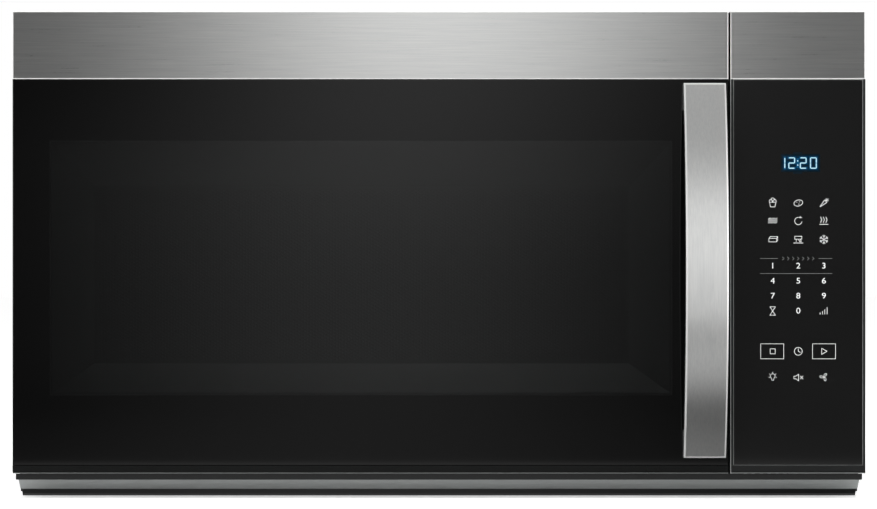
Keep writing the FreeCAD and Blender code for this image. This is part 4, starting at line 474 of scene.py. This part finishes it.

# expanded mesh: slit and stretched foil, diamonds about 4 mm wide, with the gaps painted dark grey
# as painted shade so that the pleats look open; the plain channel round it keeps the mill finish
mesh_pitch = 4.2 * MM
mesh_lean = 0.55
channel_wide = 7.0 * MM
for side in ("left", "right"):
    low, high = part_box(f"grease_filter_{side}")
    netting, tree = new_material(f"expanded_aluminium_mesh_{side}")
    where = add(tree, "TexCoord").outputs["Object"]
    parts = add(tree, "SeparateXYZ", Vector=where)
    diamonds = []
    for lean in (mesh_lean, -mesh_lean):
        lean = add(tree, "Math", {"operation": "MULTIPLY", "_1": lean}, _0=parts.outputs["X"])
        lean = add(tree, "Math", {"operation": "ADD"}, _0=lean, _1=parts.outputs["Y"])
        lean = add(tree, "Math", {"operation": "MULTIPLY", "_1": 2 * math.pi / mesh_pitch}, _0=lean)
        diamonds.append(add(tree, "Math", {"operation": "COSINE"}, _0=lean))
    wires = add(tree, "Math", {"operation": "MAXIMUM"},
                _0=diamonds[0], _1=diamonds[1])
    wires = add(tree, "MapRange", {"interpolation_type": "SMOOTHSTEP", "From Min": 0.35,
                                   "From Max": 0.75}, Value=wires)
    rails = []
    for i, axis in enumerate("XY"):
        off = add(tree, "Math", {"operation": "SUBTRACT", "_1": (low[i] + high[i]) / 2},
                  _0=parts.outputs[axis])
        off = add(tree, "Math", {"operation": "ABSOLUTE"}, _0=off)
        inner = (high[i] - low[i]) / 2 - channel_wide
        rails.append(add(tree, "Math", {"operation": "GREATER_THAN", "_1": inner}, _0=off))
    rail = add(tree, "Math", {"operation": "MAXIMUM"}, _0=rails[0], _1=rails[1])
    solid = add(tree, "Math", {"operation": "MAXIMUM"}, _0=wires, _1=rail)
    shade = add(tree, "ValToRGB", {"ramp": ("#4C4E50", "#C4C6C8")}, Fac=solid)
    bump = add(tree, "Bump", {"Strength": 0.9, "Distance": 0.6 * MM}, Height=solid)
    skin = add(tree, "BsdfPrincipled", {"Metallic": 1.0, "Roughness": 0.38},
               Base_Color=shade, Normal=bump)
    add(tree, "OutputMaterial", Surface=skin)
    dress(f"grease_filter_{side}", netting)


# ---- moulded plastics --------------------------------------------------------------------
# Injection mouldings: black ABS for the door shell, the panel housing, the louvre and the
# trims; grey nylon for the fan and switches; natural acetal for the latch and turntable.

def moulded(name, dark, light, roughness, painted_highlights=None, shine=0.5):
    """Moulded plastic: fine spark-eroded grain, with its gloss drifting a little. Each painted
    highlight is an axis, the place below which it is painted pale, and its colour."""
    material, tree = new_material(name)
    where = add(tree, "TexCoord").outputs["Object"]
    grain = add(tree, "TexNoise", {"Scale": 1100.0, "Detail": 2.0}, Vector=where)
    drift = add(tree, "TexNoise", {"Scale": 20.0, "Detail": 3.0}, Vector=where)
    shade = add(tree, "ValToRGB", {"ramp": (dark, light)}, Fac=drift)
    gloss = add(tree, "MapRange", {"To Min": roughness - 0.06, "To Max": roughness + 0.06},
                Value=drift)
    bump = add(tree, "Bump", {"Strength": 0.25, "Distance": 0.1 * MM}, Height=grain)
    colour = shade
    # each painted highlight is a pale band along one edge
    for axis, place, tone in painted_highlights or ():
        parts = add(tree, "SeparateXYZ", Vector=where)
        highlight_band = add(tree, "MapRange", {"From Min": place - 0.1 * MM, "From Max": place + 0.1 * MM,
                                      "To Min": 1.0, "To Max": 0.0}, Value=parts.outputs[axis])
        colour = add(tree, "Mix", {"data_type": "RGBA", "_7": srgb(tone)},
                     _0=highlight_band, _6=colour).outputs[2]
    skin = add(tree, "BsdfPrincipled", {"Specular IOR Level": shine}, Base_Color=colour,
               Roughness=gloss, Normal=bump)
    add(tree, "OutputMaterial", Surface=skin)
    return material


black_abs = moulded("satin_black_abs", "#161718", "#1E1F20", 0.42)
for node in ("hv_diode", "vent_grille", "display_module", "door_shell", "choke_cover"):
    dress(node, black_abs)
# the trim's lower edge and the housing's lower and left edges are painted pale, a painted highlight
# line
trim_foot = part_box("door_bottom_trim")[0][2]
trim_abs = moulded("bevel_trim_abs", "#0B0C0B", "#0F1010", 0.3,
                   painted_highlights=(("Z", trim_foot + 0.6 * MM, "#7E8180"),), shine=0.22)
dress("door_bottom_trim", trim_abs)
housing_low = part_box("panel_frame")[0]
housing_abs = moulded("panel_housing_abs", "#161717", "#1B1C1C", 0.34,
                      painted_highlights=(("Z", housing_low[2] + 0.8 * MM, "#7E8180"),
                              ("X", housing_low[0] + 0.5 * MM, "#8E9190")), shine=0.25)
dress("panel_frame", housing_abs)
grey_nylon = moulded("grey_glass_filled_nylon", "#6F7172", "#7E8081", 0.5)
for node in ("thermal_cutouts", "interlock_switches", "cooling_fan"):
    dress(node, grey_nylon)
acetal = moulded("natural_acetal", "#D9D8D2", "#E6E5E0", 0.4)
for node in ("latch_board", "hinge_bushes", "latch_hooks", "drive_coupler", "roller_ring",
             "roller_wheel_1", "roller_wheel_2", "roller_wheel_3"):
    dress(node, acetal)


# ---- charcoal filter ---------------------------------------------------------------------
# A card frame round a bed of activated charcoal granules, under the louvre.

# charcoal: sharp black granules of about 2 mm
charcoal, tree = new_material("activated_charcoal")
where = add(tree, "TexCoord").outputs["Object"]
granule = add(tree, "TexVoronoi", {"Scale": 480.0}, Vector=where)
tone = add(tree, "SeparateColor", Color=granule.outputs["Color"])
shade = add(tree, "ValToRGB", {"ramp": ("#0E0E0F", "#323334")}, Fac=tone.outputs["Red"])
bump = add(tree, "Bump", {"Strength": 0.9, "Distance": 0.8 * MM}, Height=granule)
skin = add(tree, "BsdfPrincipled", {"Roughness": 0.7}, Base_Color=shade,
           Normal=bump)
add(tree, "OutputMaterial", Surface=skin)
dress("charcoal_filter", charcoal)


# ---- clear glass -------------------------------------------------------------------------
# Pressed heat-resistant glass: the turntable tray, the cooktop lamp's lens, the door's
# inner pane and the two lamps.

# pressed glass: a soft green body, its surface waved by the mould
clear_glass, tree = new_material("pressed_clear_glass")
where = add(tree, "TexCoord").outputs["Object"]
wave = add(tree, "TexNoise", {"Scale": 45.0, "Detail": 2.0}, Vector=where)
tint = add(tree, "ValToRGB", {"ramp": ("#E4EEEB", "#F1F6F5")}, Fac=wave)
bump = add(tree, "Bump", {"Strength": 0.15, "Distance": 0.6 * MM}, Height=wave)
skin = add(tree, "BsdfPrincipled", {"Roughness": 0.06, "IOR": 1.47, "Transmission Weight": 0.9},
           Base_Color=tint, Normal=bump)
add(tree, "OutputMaterial", Surface=skin)
for node in ("glass_tray", "cavity_lamp", "cooktop_lamp", "inner_glass"):
    dress(node, clear_glass)

# stippled lens: a dimpled pattern that spreads the lamp's light, dimples 3 mm apart
lens_glass, tree = new_material("stippled_lens_glass")
where = add(tree, "TexCoord").outputs["Object"]
dimple = add(tree, "TexVoronoi", {"Scale": 330.0, "Randomness": 0.35}, Vector=where)
bump = add(tree, "Bump", {"Strength": 0.8, "Distance": 0.8 * MM}, Height=dimple)
frost = add(tree, "MapRange", {"To Min": 0.12, "To Max": 0.3}, Value=dimple)
skin = add(tree, "BsdfPrincipled", {"Base Color": srgb("#DFE3E2"), "IOR": 1.47,
                                    "Transmission Weight": 0.7},
           Roughness=frost, Normal=bump)
add(tree, "OutputMaterial", Surface=skin)
dress("cooktop_lens", lens_glass)


# ---- stainless bands and handle ----------------------------------------------------------
# Stainless steel sheet with a belt-brushed grain: along the bands, and up the handle.
# Their edges are folded or milled, and carry a painted highlight: a pale line.

def brushed(name, scale, axis, rough, highlight_metal, dull_flank=0.0, highlight_hem=None):
    """Belt-brushed stainless: fine parallel scratches along an axis, glossy along them and
    blurred across. Its edges carry a painted highlight, pale and keeping the given share of
    metal, with part of it on the flanks; below the hem the whole face carries it."""
    material, tree = new_material(name)
    where = add(tree, "TexCoord").outputs["Object"]
    grain = add(tree, "Mapping", {"Scale": scale}, Vector=where)
    scratch = add(tree, "TexNoise", {"Scale": 1.0, "Detail": 5.0, "Roughness": 0.7},
                  Vector=grain)
    shade = add(tree, "ValToRGB", Fac=scratch)
    shade.color_ramp.elements[0].position = 0.25
    shade.color_ramp.elements[0].color = srgb("#BEBFBF")
    shade.color_ramp.elements[1].position = 0.75
    shade.color_ramp.elements[1].color = srgb("#D2D2D0")
    gloss = add(tree, "MapRange", {"From Min": 0.3, "From Max": 0.7, "To Min": rough - 0.03,
                                   "To Max": rough + 0.03}, Value=scratch)
    bump = add(tree, "Bump", {"Strength": 0.03, "Distance": 0.1 * MM}, Height=scratch)
    # the edges, part of the flanks and the strip below the hem are painted pale and rough, a
    # painted highlight line
    surface = add(tree, "NewGeometry")
    facing = add(tree, "SeparateXYZ", Vector=surface.outputs["Normal"])
    facing = add(tree, "Math", {"operation": "ABSOLUTE"}, _0=facing.outputs["Y"])
    front = add(tree, "MapRange", {"From Min": 0.80, "From Max": 0.97}, Value=facing)
    flank = add(tree, "MapRange", {"From Min": 0.06, "From Max": 0.2, "To Min": 1.0, "To Max": 0.0},
                Value=facing)
    if highlight_hem:
        parts = add(tree, "SeparateXYZ", Vector=where)
        above = add(tree, "MapRange", {"From Min": highlight_hem - 0.1 * MM, "From Max": highlight_hem + 0.1 * MM},
                    Value=parts.outputs["Z"])
        front = add(tree, "Math", {"operation": "MULTIPLY"}, _0=front, _1=above)
    dull = add(tree, "Math", {"operation": "MULTIPLY", "_1": 1.0 - dull_flank}, _0=flank)
    flat = add(tree, "Math", {"operation": "MAXIMUM"}, _0=front, _1=dull)
    flat = add(tree, "MapRange", {"To Min": highlight_metal}, Value=flat)
    colour = add(tree, "Mix", {"data_type": "RGBA", "_6": srgb("#F0F0EE")},
                 _0=flat, _7=shade)
    gloss = add(tree, "Mix", {"data_type": "FLOAT", "_2": 0.55},
                _0=flat, _3=gloss)
    gloss = add(tree, "Mix", {"data_type": "FLOAT", "_3": 0.14},
                _0=flank, _2=gloss)
    across = add(tree, "VectorMath", {"operation": "CROSS_PRODUCT", "_1": axis},
                 _0=surface.outputs["Normal"])
    skin = add(tree, "BsdfPrincipled", {"Anisotropic": 0.93}, Metallic=flat,
               Base_Color=colour.outputs[2], Roughness=gloss,
               Normal=bump, Tangent=across)
    add(tree, "OutputMaterial", Surface=skin)
    return material


# scratches 0.2 to 0.5 mm apart, drawn about 1 mm apart so that they show
along_scratch, over_scratch = 18.0, 900.0
band_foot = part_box("door_band")[0][2]
band_steel = brushed("stainless_brushed_along", (along_scratch, over_scratch, over_scratch),
                     (1.0, 0.0, 0.0), rough=0.30, highlight_metal=0.15, highlight_hem=band_foot + 0.9 * MM)
handle_steel = brushed("stainless_brushed_upright", (over_scratch, over_scratch, along_scratch),
                       (0.0, 0.0, 1.0), rough=0.38, highlight_metal=0.45, dull_flank=0.6)
dress("door_band", band_steel)
dress("panel_band", band_steel)
dress("door_handle", handle_steel)


# ---- door glass --------------------------------------------------------------------------
# A sheet of toughened glass, printed black on its rear face except for the window, whose
# close dot print lets the screen behind it show faintly; it is drawn as an even grey tint.

window = {"X": (-346.4 * MM, 207.7 * MM), "Z": (92.9 * MM, 319.1 * MM)}
print_edge = 0.02 * MM

# printed black glass: mirror-smooth, near black; the window lets a little through
door_black, tree = new_material("back_printed_black_glass")
where = add(tree, "TexCoord").outputs["Object"]
parts = add(tree, "SeparateXYZ", Vector=where)
inside = []
for axis, (low, high) in window.items():
    off = add(tree, "Math", {"operation": "SUBTRACT", "_1": (low + high) / 2},
              _0=parts.outputs[axis])
    off = add(tree, "Math", {"operation": "ABSOLUTE"}, _0=off)
    half = (high - low) / 2
    inside.append(add(tree, "MapRange", {"From Min": half - print_edge,
                                         "From Max": half + print_edge,
                                         "To Min": 1.0, "To Max": 0.0}, Value=off))
clear = add(tree, "Math", {"operation": "MULTIPLY"}, _0=inside[0], _1=inside[1])
print_tint = add(tree, "Mix", {"data_type": "RGBA", "_6": srgb("#030303"), "_7": srgb("#969897")},
                 _0=clear)
smear = add(tree, "TexNoise", {"Scale": 9.0, "Detail": 3.0}, Vector=where)
gloss = add(tree, "MapRange", {"To Min": 0.03, "To Max": 0.055}, Value=smear)
wave = add(tree, "TexNoise", {"Scale": 4.0, "Detail": 1.0}, Vector=where)
bump = add(tree, "Bump", {"Strength": 0.02, "Distance": 2.0 * MM}, Height=wave)
skin = add(tree, "BsdfPrincipled", {"IOR": 1.5}, Base_Color=print_tint.outputs[2],
           Roughness=gloss, Transmission_Weight=clear,
           Normal=bump)
add(tree, "OutputMaterial", Surface=skin)
dress("door_glass", door_black)


# ---- door screen and choke frame ---------------------------------------------------------
# Pressed steel in black paint. The screen's flat field has 1.5 mm holes on a close triangular
# pitch, painted near black as painted shade; its border slopes back from the glass like a picture
# frame.

# black-painted steel: satin, with the holes in the flat field dented and painted near black,
# painted shade for the dark behind them
field = {"X": (-309.4 * MM, 170.7 * MM), "Z": (119.6 * MM, 279.9 * MM)}
field_margin = 4.0 * MM
hole_pitch = 3.0 * MM
row_pitch = hole_pitch * math.sqrt(3) / 2
screen_paint, tree = new_material("black_painted_steel")
where = add(tree, "TexCoord").outputs["Object"]
parts = add(tree, "SeparateXYZ", Vector=where)
waves = []
for degrees in (0, 60, 120):
    turn = math.radians(degrees)
    u = add(tree, "Math", {"operation": "MULTIPLY", "_1": math.cos(turn) * 2 * math.pi / row_pitch},
            _0=parts.outputs["X"])
    v = add(tree, "Math", {"operation": "MULTIPLY", "_1": math.sin(turn) * 2 * math.pi / row_pitch},
            _0=parts.outputs["Z"])
    rows = add(tree, "Math", {"operation": "ADD"}, _0=u, _1=v)
    waves.append(add(tree, "Math", {"operation": "COSINE"}, _0=rows))
hole_dots = add(tree, "Math", {"operation": "ADD"}, _0=waves[0], _1=waves[1])
hole_dots = add(tree, "Math", {"operation": "ADD"}, _0=hole_dots, _1=waves[2])
hole_dots = add(tree, "MapRange", {"From Min": 0.1, "From Max": 0.5}, Value=hole_dots)
inside = []
for axis, (low, high) in field.items():
    off = add(tree, "Math", {"operation": "SUBTRACT", "_1": (low + high) / 2},
              _0=parts.outputs[axis])
    off = add(tree, "Math", {"operation": "ABSOLUTE"}, _0=off)
    half = (high - low) / 2 - field_margin
    inside.append(add(tree, "Math", {"operation": "LESS_THAN", "_1": half}, _0=off))
within = add(tree, "Math", {"operation": "MULTIPLY"}, _0=inside[0], _1=inside[1])
hole_shade = add(tree, "Math", {"operation": "MULTIPLY"}, _0=hole_dots, _1=within)
shade = add(tree, "ValToRGB", {"ramp": ("#2A2C2B", "#060606")}, Fac=hole_shade)
bump = add(tree, "Bump", {"Strength": 0.8, "Distance": 0.6 * MM}, Height=hole_shade)
bump.invert = True
shine = add(tree, "MapRange", {"To Min": 0.55, "To Max": 0.05}, Value=hole_shade)
skin = add(tree, "BsdfPrincipled", {"Roughness": 0.24}, Base_Color=shade,
           Specular_IOR_Level=shine, Normal=bump)
add(tree, "OutputMaterial", Surface=skin)
dress("door_screen", screen_paint)

# the choke frame has the same paint without holes
frame_paint = moulded("satin_black_frame_paint", "#232425", "#2C2D2E", 0.38)
dress("door_inner_frame", frame_paint)


# ---- panel glass -------------------------------------------------------------------------
# The control panel's touch glass, printed charcoal black on its rear face, with a painted highlight
# along its edges.

# charcoal-printed glass: as smooth as the door's, a shade lighter
panel_black, tree = new_material("back_printed_charcoal_glass")
where = add(tree, "TexCoord").outputs["Object"]
smear = add(tree, "TexNoise", {"Scale": 9.0, "Detail": 3.0}, Vector=where)
gloss = add(tree, "MapRange", {"To Min": 0.05, "To Max": 0.09}, Value=smear)
tint = add(tree, "ValToRGB", {"ramp": ("#121212", "#151515")}, Fac=smear)
# its ground edges are matt, and painted pale as a painted highlight line
facing = add(tree, "NewGeometry")
facing = add(tree, "SeparateXYZ", Vector=facing.outputs["Normal"])
facing = add(tree, "Math", {"operation": "ABSOLUTE"}, _0=facing.outputs["Y"])
flat = add(tree, "MapRange", {"From Min": 0.80, "From Max": 0.97}, Value=facing)
colour = add(tree, "Mix", {"data_type": "RGBA", "_6": srgb("#767877")},
             _0=flat, _7=tint)
gloss = add(tree, "Mix", {"data_type": "FLOAT", "_2": 0.5},
            _0=flat, _3=gloss)
skin = add(tree, "BsdfPrincipled", {"IOR": 1.5}, Base_Color=colour.outputs[2],
           Roughness=gloss)
add(tree, "OutputMaterial", Surface=skin)
dress("panel_glass", panel_black)


# ---- control board -----------------------------------------------------------------------
# Fibreglass board under green solder mask, with its relays, behind the panel's housing.

# solder mask: glossy green with the copper tracks showing as paler lines
board, tree = new_material("green_solder_mask")
where = add(tree, "TexCoord").outputs["Object"]
track = add(tree, "TexBrick", {"Scale": 160.0, "Color1": srgb("#1E5C33"), "Color2": srgb("#1A5230"),
                               "Mortar": srgb("#3B8050"), "Mortar Size": 0.03}, Vector=where)
skin = add(tree, "BsdfPrincipled", {"Roughness": 0.3}, Base_Color=track)
add(tree, "OutputMaterial", Surface=skin)
dress("control_board", board)


# ---- clock -------------------------------------------------------------------------------
# Vacuum-fluorescent digits behind the glass: pale cyan segments, with a blue glow round
# them that is painted light, drawn as wider and dimmer glowing strokes. They are drawn on the
# glass, where the eye sees them.

# places on the panel are in millimetres, from the cabinet's middle and from its underside
print_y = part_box("panel_glass")[0][1] - 0.03 * MM
digit_wide, digit_high = 5.17, 9.27
digit_foot = 294.87
segments_at = {
    # start and end of each segment, in widths and half heights of a digit
    "a": ((0, 2), (1, 2)), "b": ((1, 2), (1, 1)), "c": ((1, 1), (1, 0)), "d": ((0, 0), (1, 0)),
    "e": ((0, 1), (0, 0)), "f": ((0, 2), (0, 1)), "g": ((0, 1), (1, 1)),
}
clock = (("ef", 308.06), ("abged", 311.63), ("abged", 321.87), ("abcdef", 330.95))
colon_x, colon_heights = 319.55, (301.37, 297.63)


def glowing_stroke(name, colour):
    """Glowing phosphor, or the painted glow round it, a little uneven along each segment."""
    material, tree = new_material(name)
    where = add(tree, "TexCoord").outputs["Object"]
    patch = add(tree, "TexNoise", {"Scale": 600.0, "Detail": 1.0}, Vector=where)
    power = add(tree, "MapRange", {"To Min": 0.85, "To Max": 1.1}, Value=patch)
    skin = add(tree, "BsdfPrincipled", {"Base Color": srgb("#020202"), "Roughness": 0.5,
                                        "Specular IOR Level": 0.05,
                                        "Emission Color": srgb(colour)},
               Emission_Strength=power)
    add(tree, "OutputMaterial", Surface=skin)
    return material


def printed(name, shape, material):
    """A mark that lies on the front of the control panel's glass."""
    piece = mesh_object(name, shape, material)
    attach(piece, "cabinet")


def bar(shape, start, end, half, y, blunt):
    """A straight stroke in the glass's plane, with pointed ends, or longer and cut square."""
    start, end = (Vector((u * MM, 0.0, v * MM)) for u, v in (start, end))
    along = (end - start).normalized()
    across = along.cross(Vector((0.0, 1.0, 0.0))) * half
    tip = along * half
    corners = [start, start + tip + across, end - tip + across, end,
               end - tip - across, start + tip - across]
    if blunt:
        corners = [start - tip + across, end + tip + across, end + tip - across,
                   start - tip - across]
    face = shape.faces.new([shape.verts.new((c.x, y, c.z)) for c in corners])
    face.normal_update()
    if face.normal.y > 0:
        face.normal_flip()


def clock_digits(shape, half, y, blunt):
    """The four digits and the colon."""
    for segments, left in clock:
        for name in segments:
            ends = [(left + u * digit_wide, digit_foot + v / 2 * digit_high)
                    for u, v in segments_at[name]]
            bar(shape, *ends, half, y, blunt)
    reach = half / MM + 0.3
    for height in colon_heights:
        bar(shape, (colon_x, height - reach), (colon_x, height + reach), half * 1.2, y, blunt)


# the digits, then three wider and dimmer strokes of painted glow round them
for name, half, lift, colour in (("clock_digits", 0.44, 0.07, "#CBF4FF"),
                                 ("clock_halo", 0.9, 0.05, "#0A5480"),
                                 ("clock_glow", 1.9, 0.03, "#07293F"),
                                 ("clock_haze", 3.4, 0.01, "#0F1D26")):
    shape = bmesh.new()
    clock_digits(shape, half * MM, print_y - lift * MM, blunt=name != "clock_digits")
    printed(name, shape, glowing_stroke(f"{name}_phosphor", colour))


# ---- printed legends ---------------------------------------------------------------------
# Screen-printed marks of the touch keys, in pale grey ink: the number pad, its rules, the
# two framed keys and plain pictograms, each about as wide as the key it marks.

key_x = (297.28, 320.09, 342.89)
number_rows = (207.76, 194.40, 181.04, 167.68)
number_high = 5.3 * MM
number_wider = 1.12
capital_share = 0.73  # of the font's size
thin = 0.22 * MM


def ink(name, colour):
    """Screen ink: flat and matt, with the weave of the screen in its gloss."""
    material, tree = new_material(name)
    where = add(tree, "TexCoord").outputs["Object"]
    weave = add(tree, "TexNoise", {"Scale": 3000.0, "Detail": 1.0}, Vector=where)
    gloss = add(tree, "MapRange", {"To Min": 0.52, "To Max": 0.6}, Value=weave)
    skin = add(tree, "BsdfPrincipled", {"Base Color": srgb(colour), "Specular IOR Level": 0.2},
               Roughness=gloss)
    add(tree, "OutputMaterial", Surface=skin)
    return material


def add_number(shape, text, x, z):
    """A printed number with its middle at a place."""
    curve = bpy.data.curves.new("number", "FONT")
    curve.body = text
    curve.align_x, curve.align_y = "CENTER", "CENTER"
    curve.size = number_high / capital_share
    holder = bpy.data.objects.new("number", curve)
    bpy.context.scene.collection.objects.link(holder)
    outline = bpy.data.meshes.new_from_object(holder)
    bpy.data.objects.remove(holder)
    outline.transform(Matrix.Translation((x * MM, print_y, z * MM))
                      @ Matrix.Rotation(math.pi / 2, 4, "X")
                      @ Matrix.Diagonal((number_wider, 1.0, 1.0, 1.0)))
    shape.from_mesh(outline)
    bpy.data.meshes.remove(outline)


def stroke(shape, points, half, closed=False):
    """A line of even width through points, with its corners filled."""
    runs = len(points) if closed else len(points) - 1
    for i in range(runs):
        start, end = (Vector(points[j % len(points)]) * MM for j in (i, i + 1))
        along = (end - start).normalized()
        across = Vector((-along.y, along.x)) * half
        reach = along * half * 0.7
        start, end = start - reach, end + reach
        corners = (start - across, end - across, end + across, start + across)
        shape.faces.new([shape.verts.new((c.x, print_y - 0.002 * MM * i, c.y)) for c in corners])


def mark(shape, x, z, lines, size=1.0, half=thin):
    """A pictogram: lines in millimetres from its middle, at a place."""
    for points in lines:
        stroke(shape, [(x + u * size, z + v * size) for u, v in points], half)


def from_middle(degrees, radius, centre=(0.0, 0.0)):
    """The point at an angle and a distance from a centre."""
    turn = math.radians(degrees)
    return (centre[0] + radius * math.cos(turn), centre[1] + radius * math.sin(turn))


def round_line(radius, start=0, end=360, centre=(0.0, 0.0), steps=16):
    """An arc between two angles."""
    return [from_middle(start + (end - start) * i / steps, radius, centre)
            for i in range(steps + 1)]


pale_ink = ink("pale_grey_screen_ink", "#ECEDEC")
dim_ink = ink("dim_grey_screen_ink", "#6E706F")

shape = bmesh.new()
for i, text in enumerate("123456789"):
    add_number(shape, text, key_x[i % 3], number_rows[i // 3])
add_number(shape, "0", key_x[1], number_rows[3])
printed("key_numbers", shape, pale_ink)

popcorn = [[(-2.2, 0.2), (-1.5, -3.0), (1.5, -3.0), (2.2, 0.2)], [(-2.2, 0.2), (2.2, 0.2)],
           round_line(1.1, -20, 200, (-1.3, 0.9)), round_line(1.1, -20, 200, (1.3, 0.9)),
           round_line(1.2, -10, 190, (0, 1.9))]
potato = [[(3.0 * u, 2.1 * v + 0.4 * u) for u, v in round_line(1.0, steps=18)],
          [(-1.2, 0.5), (-0.8, 0.5)], [(0.6, 0.8), (1.0, 0.8)], [(0.2, -0.7), (0.6, -0.7)]]
carrot = [[(-2.6, -2.6), (0.4, 2.0), (2.0, 0.4), (-2.6, -2.6)], [(1.3, 1.3), (3.0, 3.0)],
          [(1.3, 1.3), (1.6, 3.2)], [(1.3, 1.3), (3.2, 1.6)]]
strips = [[(u / 2, v + 0.5 * math.sin(u * 1.3)) for u in range(-6, 7)] for v in (1.6, 0.3, -1.0)]
again = [round_line(2.5, 60, 350), [(1.2, 3.3), (1.25, 2.2), (2.5, 2.4)]]
warm = [[(u + 0.45 * math.sin(v * 1.9), v) for v in (-1.2, -0.4, 0.4, 1.2, 2.0, 2.8)]
        for u in (-1.8, 0.0, 1.8)] + [[(-3.0, -2.3), (3.0, -2.3)]]
block = [[(-2.6, -1.6), (2.6, -1.6), (2.6, 0.8), (-2.6, 0.8), (-2.6, -1.6)],
         [(-2.6, 0.8), (-1.6, 2.0), (3.4, 2.0), (2.6, 0.8)], [(3.4, 2.0), (3.4, -0.6), (2.6, -1.6)]]
melt = [[(-2.4, 0.2), (2.4, 0.2), (2.4, 2.2), (-2.4, 2.2), (-2.4, 0.2)],
        [(-1.4, 0.2), (-1.4, -1.4)], [(0.2, 0.2), (0.2, -0.6)], [(-3.2, -2.4), (3.2, -2.4)],
        round_line(0.6, 180, 360, (1.4, -1.0)), [(1.4, 0.2), (0.85, -1.0)],
        [(1.4, 0.2), (1.95, -1.0)]]
flake = []
for degrees in (30, 90, 150):
    flake.append([from_middle(degrees + 180, 3.0), from_middle(degrees, 3.0)])
    for arm in (degrees, degrees + 180):
        root = from_middle(arm, 1.9)
        flake += [[root, from_middle(arm + lean, 1.1, root)] for lean in (50, -50)]
hourglass = [[(-1.9, 2.9), (1.9, 2.9), (-1.9, -2.9), (1.9, -2.9), (-1.9, 2.9)]]
dial = [round_line(2.7), [(0, 1.8), (0, 0), (1.3, -0.7)]]
levels = [[(-2.6, -2.2), (-2.6, -1.2)], [(-1.0, -2.2), (-1.0, -0.2)], [(0.6, -2.2), (0.6, 1.0)],
          [(2.2, -2.2), (2.2, 2.4)]]
square = [[(-1.7, -1.7), (1.7, -1.7), (1.7, 1.7), (-1.7, 1.7), (-1.7, -1.7)]]
play = [[(-1.5, -2.1), (2.1, 0), (-1.5, 2.1), (-1.5, -2.1)]]
speaker = [[(-3.0, -0.9), (-1.7, -0.9), (0.2, -2.3), (0.2, 2.3), (-1.7, 0.9), (-3.0, 0.9),
            (-3.0, -0.9)], [(1.3, -1.1), (3.3, 1.1)], [(1.3, 1.1), (3.3, -1.1)]]
bulb = [round_line(2.2, -50, 230, (0, 0.8)), [(1.4, -0.9), (0.9, -2.0), (0.9, -3.0), (-0.9, -3.0),
        (-0.9, -2.0), (-1.4, -0.9)]]
bulb += [[from_middle(degrees, 3.0, (0, 0.8)), from_middle(degrees, 3.9, (0, 0.8))]
         for degrees in (-20, 35, 90, 145, 200)]
fan = []
for degrees in (50, 170, 290):
    u_axis, v_axis = from_middle(degrees, 1.0), from_middle(degrees + 90, 1.0)
    blade = ((0.0, 0.0), (1.4, 1.1), (2.9, 1.3), (3.9, 0.3), (3.4, -0.7), (1.6, -0.5), (0.0, 0.0))
    fan.append([(u * u_axis[0] + v * v_axis[0], u * u_axis[1] + v * v_axis[1]) for u, v in blade])

shape = bmesh.new()
for icon, column, z in ((popcorn, 0, 264.32), (potato, 1, 263.87), (carrot, 2, 263.87),
                        (strips, 0, 247.84), (again, 1, 247.84), (warm, 2, 247.84),
                        (block, 0, 231.36), (melt, 1, 231.36), (flake, 2, 231.36),
                        (hourglass, 0, 167.68), (levels, 2, 167.68), (dial, 1, 131.78),
                        (square, 0, 131.78), (play, 2, 131.78), (speaker, 1, 108.44)):
    mark(shape, key_x[column], z, icon, 1.3)
for icon, column in ((bulb, 0), (fan, 2)):
    mark(shape, key_x[column], 108.88, icon, 0.95, half=0.18 * MM)
# the frames round the two large keys
frame_wide, frame_low, frame_high = 20.49, 125.10, 138.46
for left in (286.60, 332.74):
    right = left + frame_wide
    stroke(shape, [(left, frame_high), (right, frame_high), (right, frame_low), (left, frame_low)],
           0.19 * MM, closed=True)
printed("key_pictograms", shape, pale_ink)

# rules above the number pad, with a row of chevrons between the upper two
lower_rule, upper_rule, chevron_step = 201.08, 214.44, 4.45
shape = bmesh.new()
for z, left, right in ((lower_rule, 286.06, 350.19), (upper_rule, 286.06, 301.83),
                       (upper_rule, 338.26, 350.19)):
    stroke(shape, [(left, z), (right, z)], 0.2 * MM)
for step in range(-3, 4):
    mark(shape, key_x[1] + step * chevron_step, upper_rule,
         [[(-0.8, 1.4), (0.7, 0.0), (-0.8, -1.4)]], half=0.2 * MM)
printed("key_rules", shape, dim_ink)
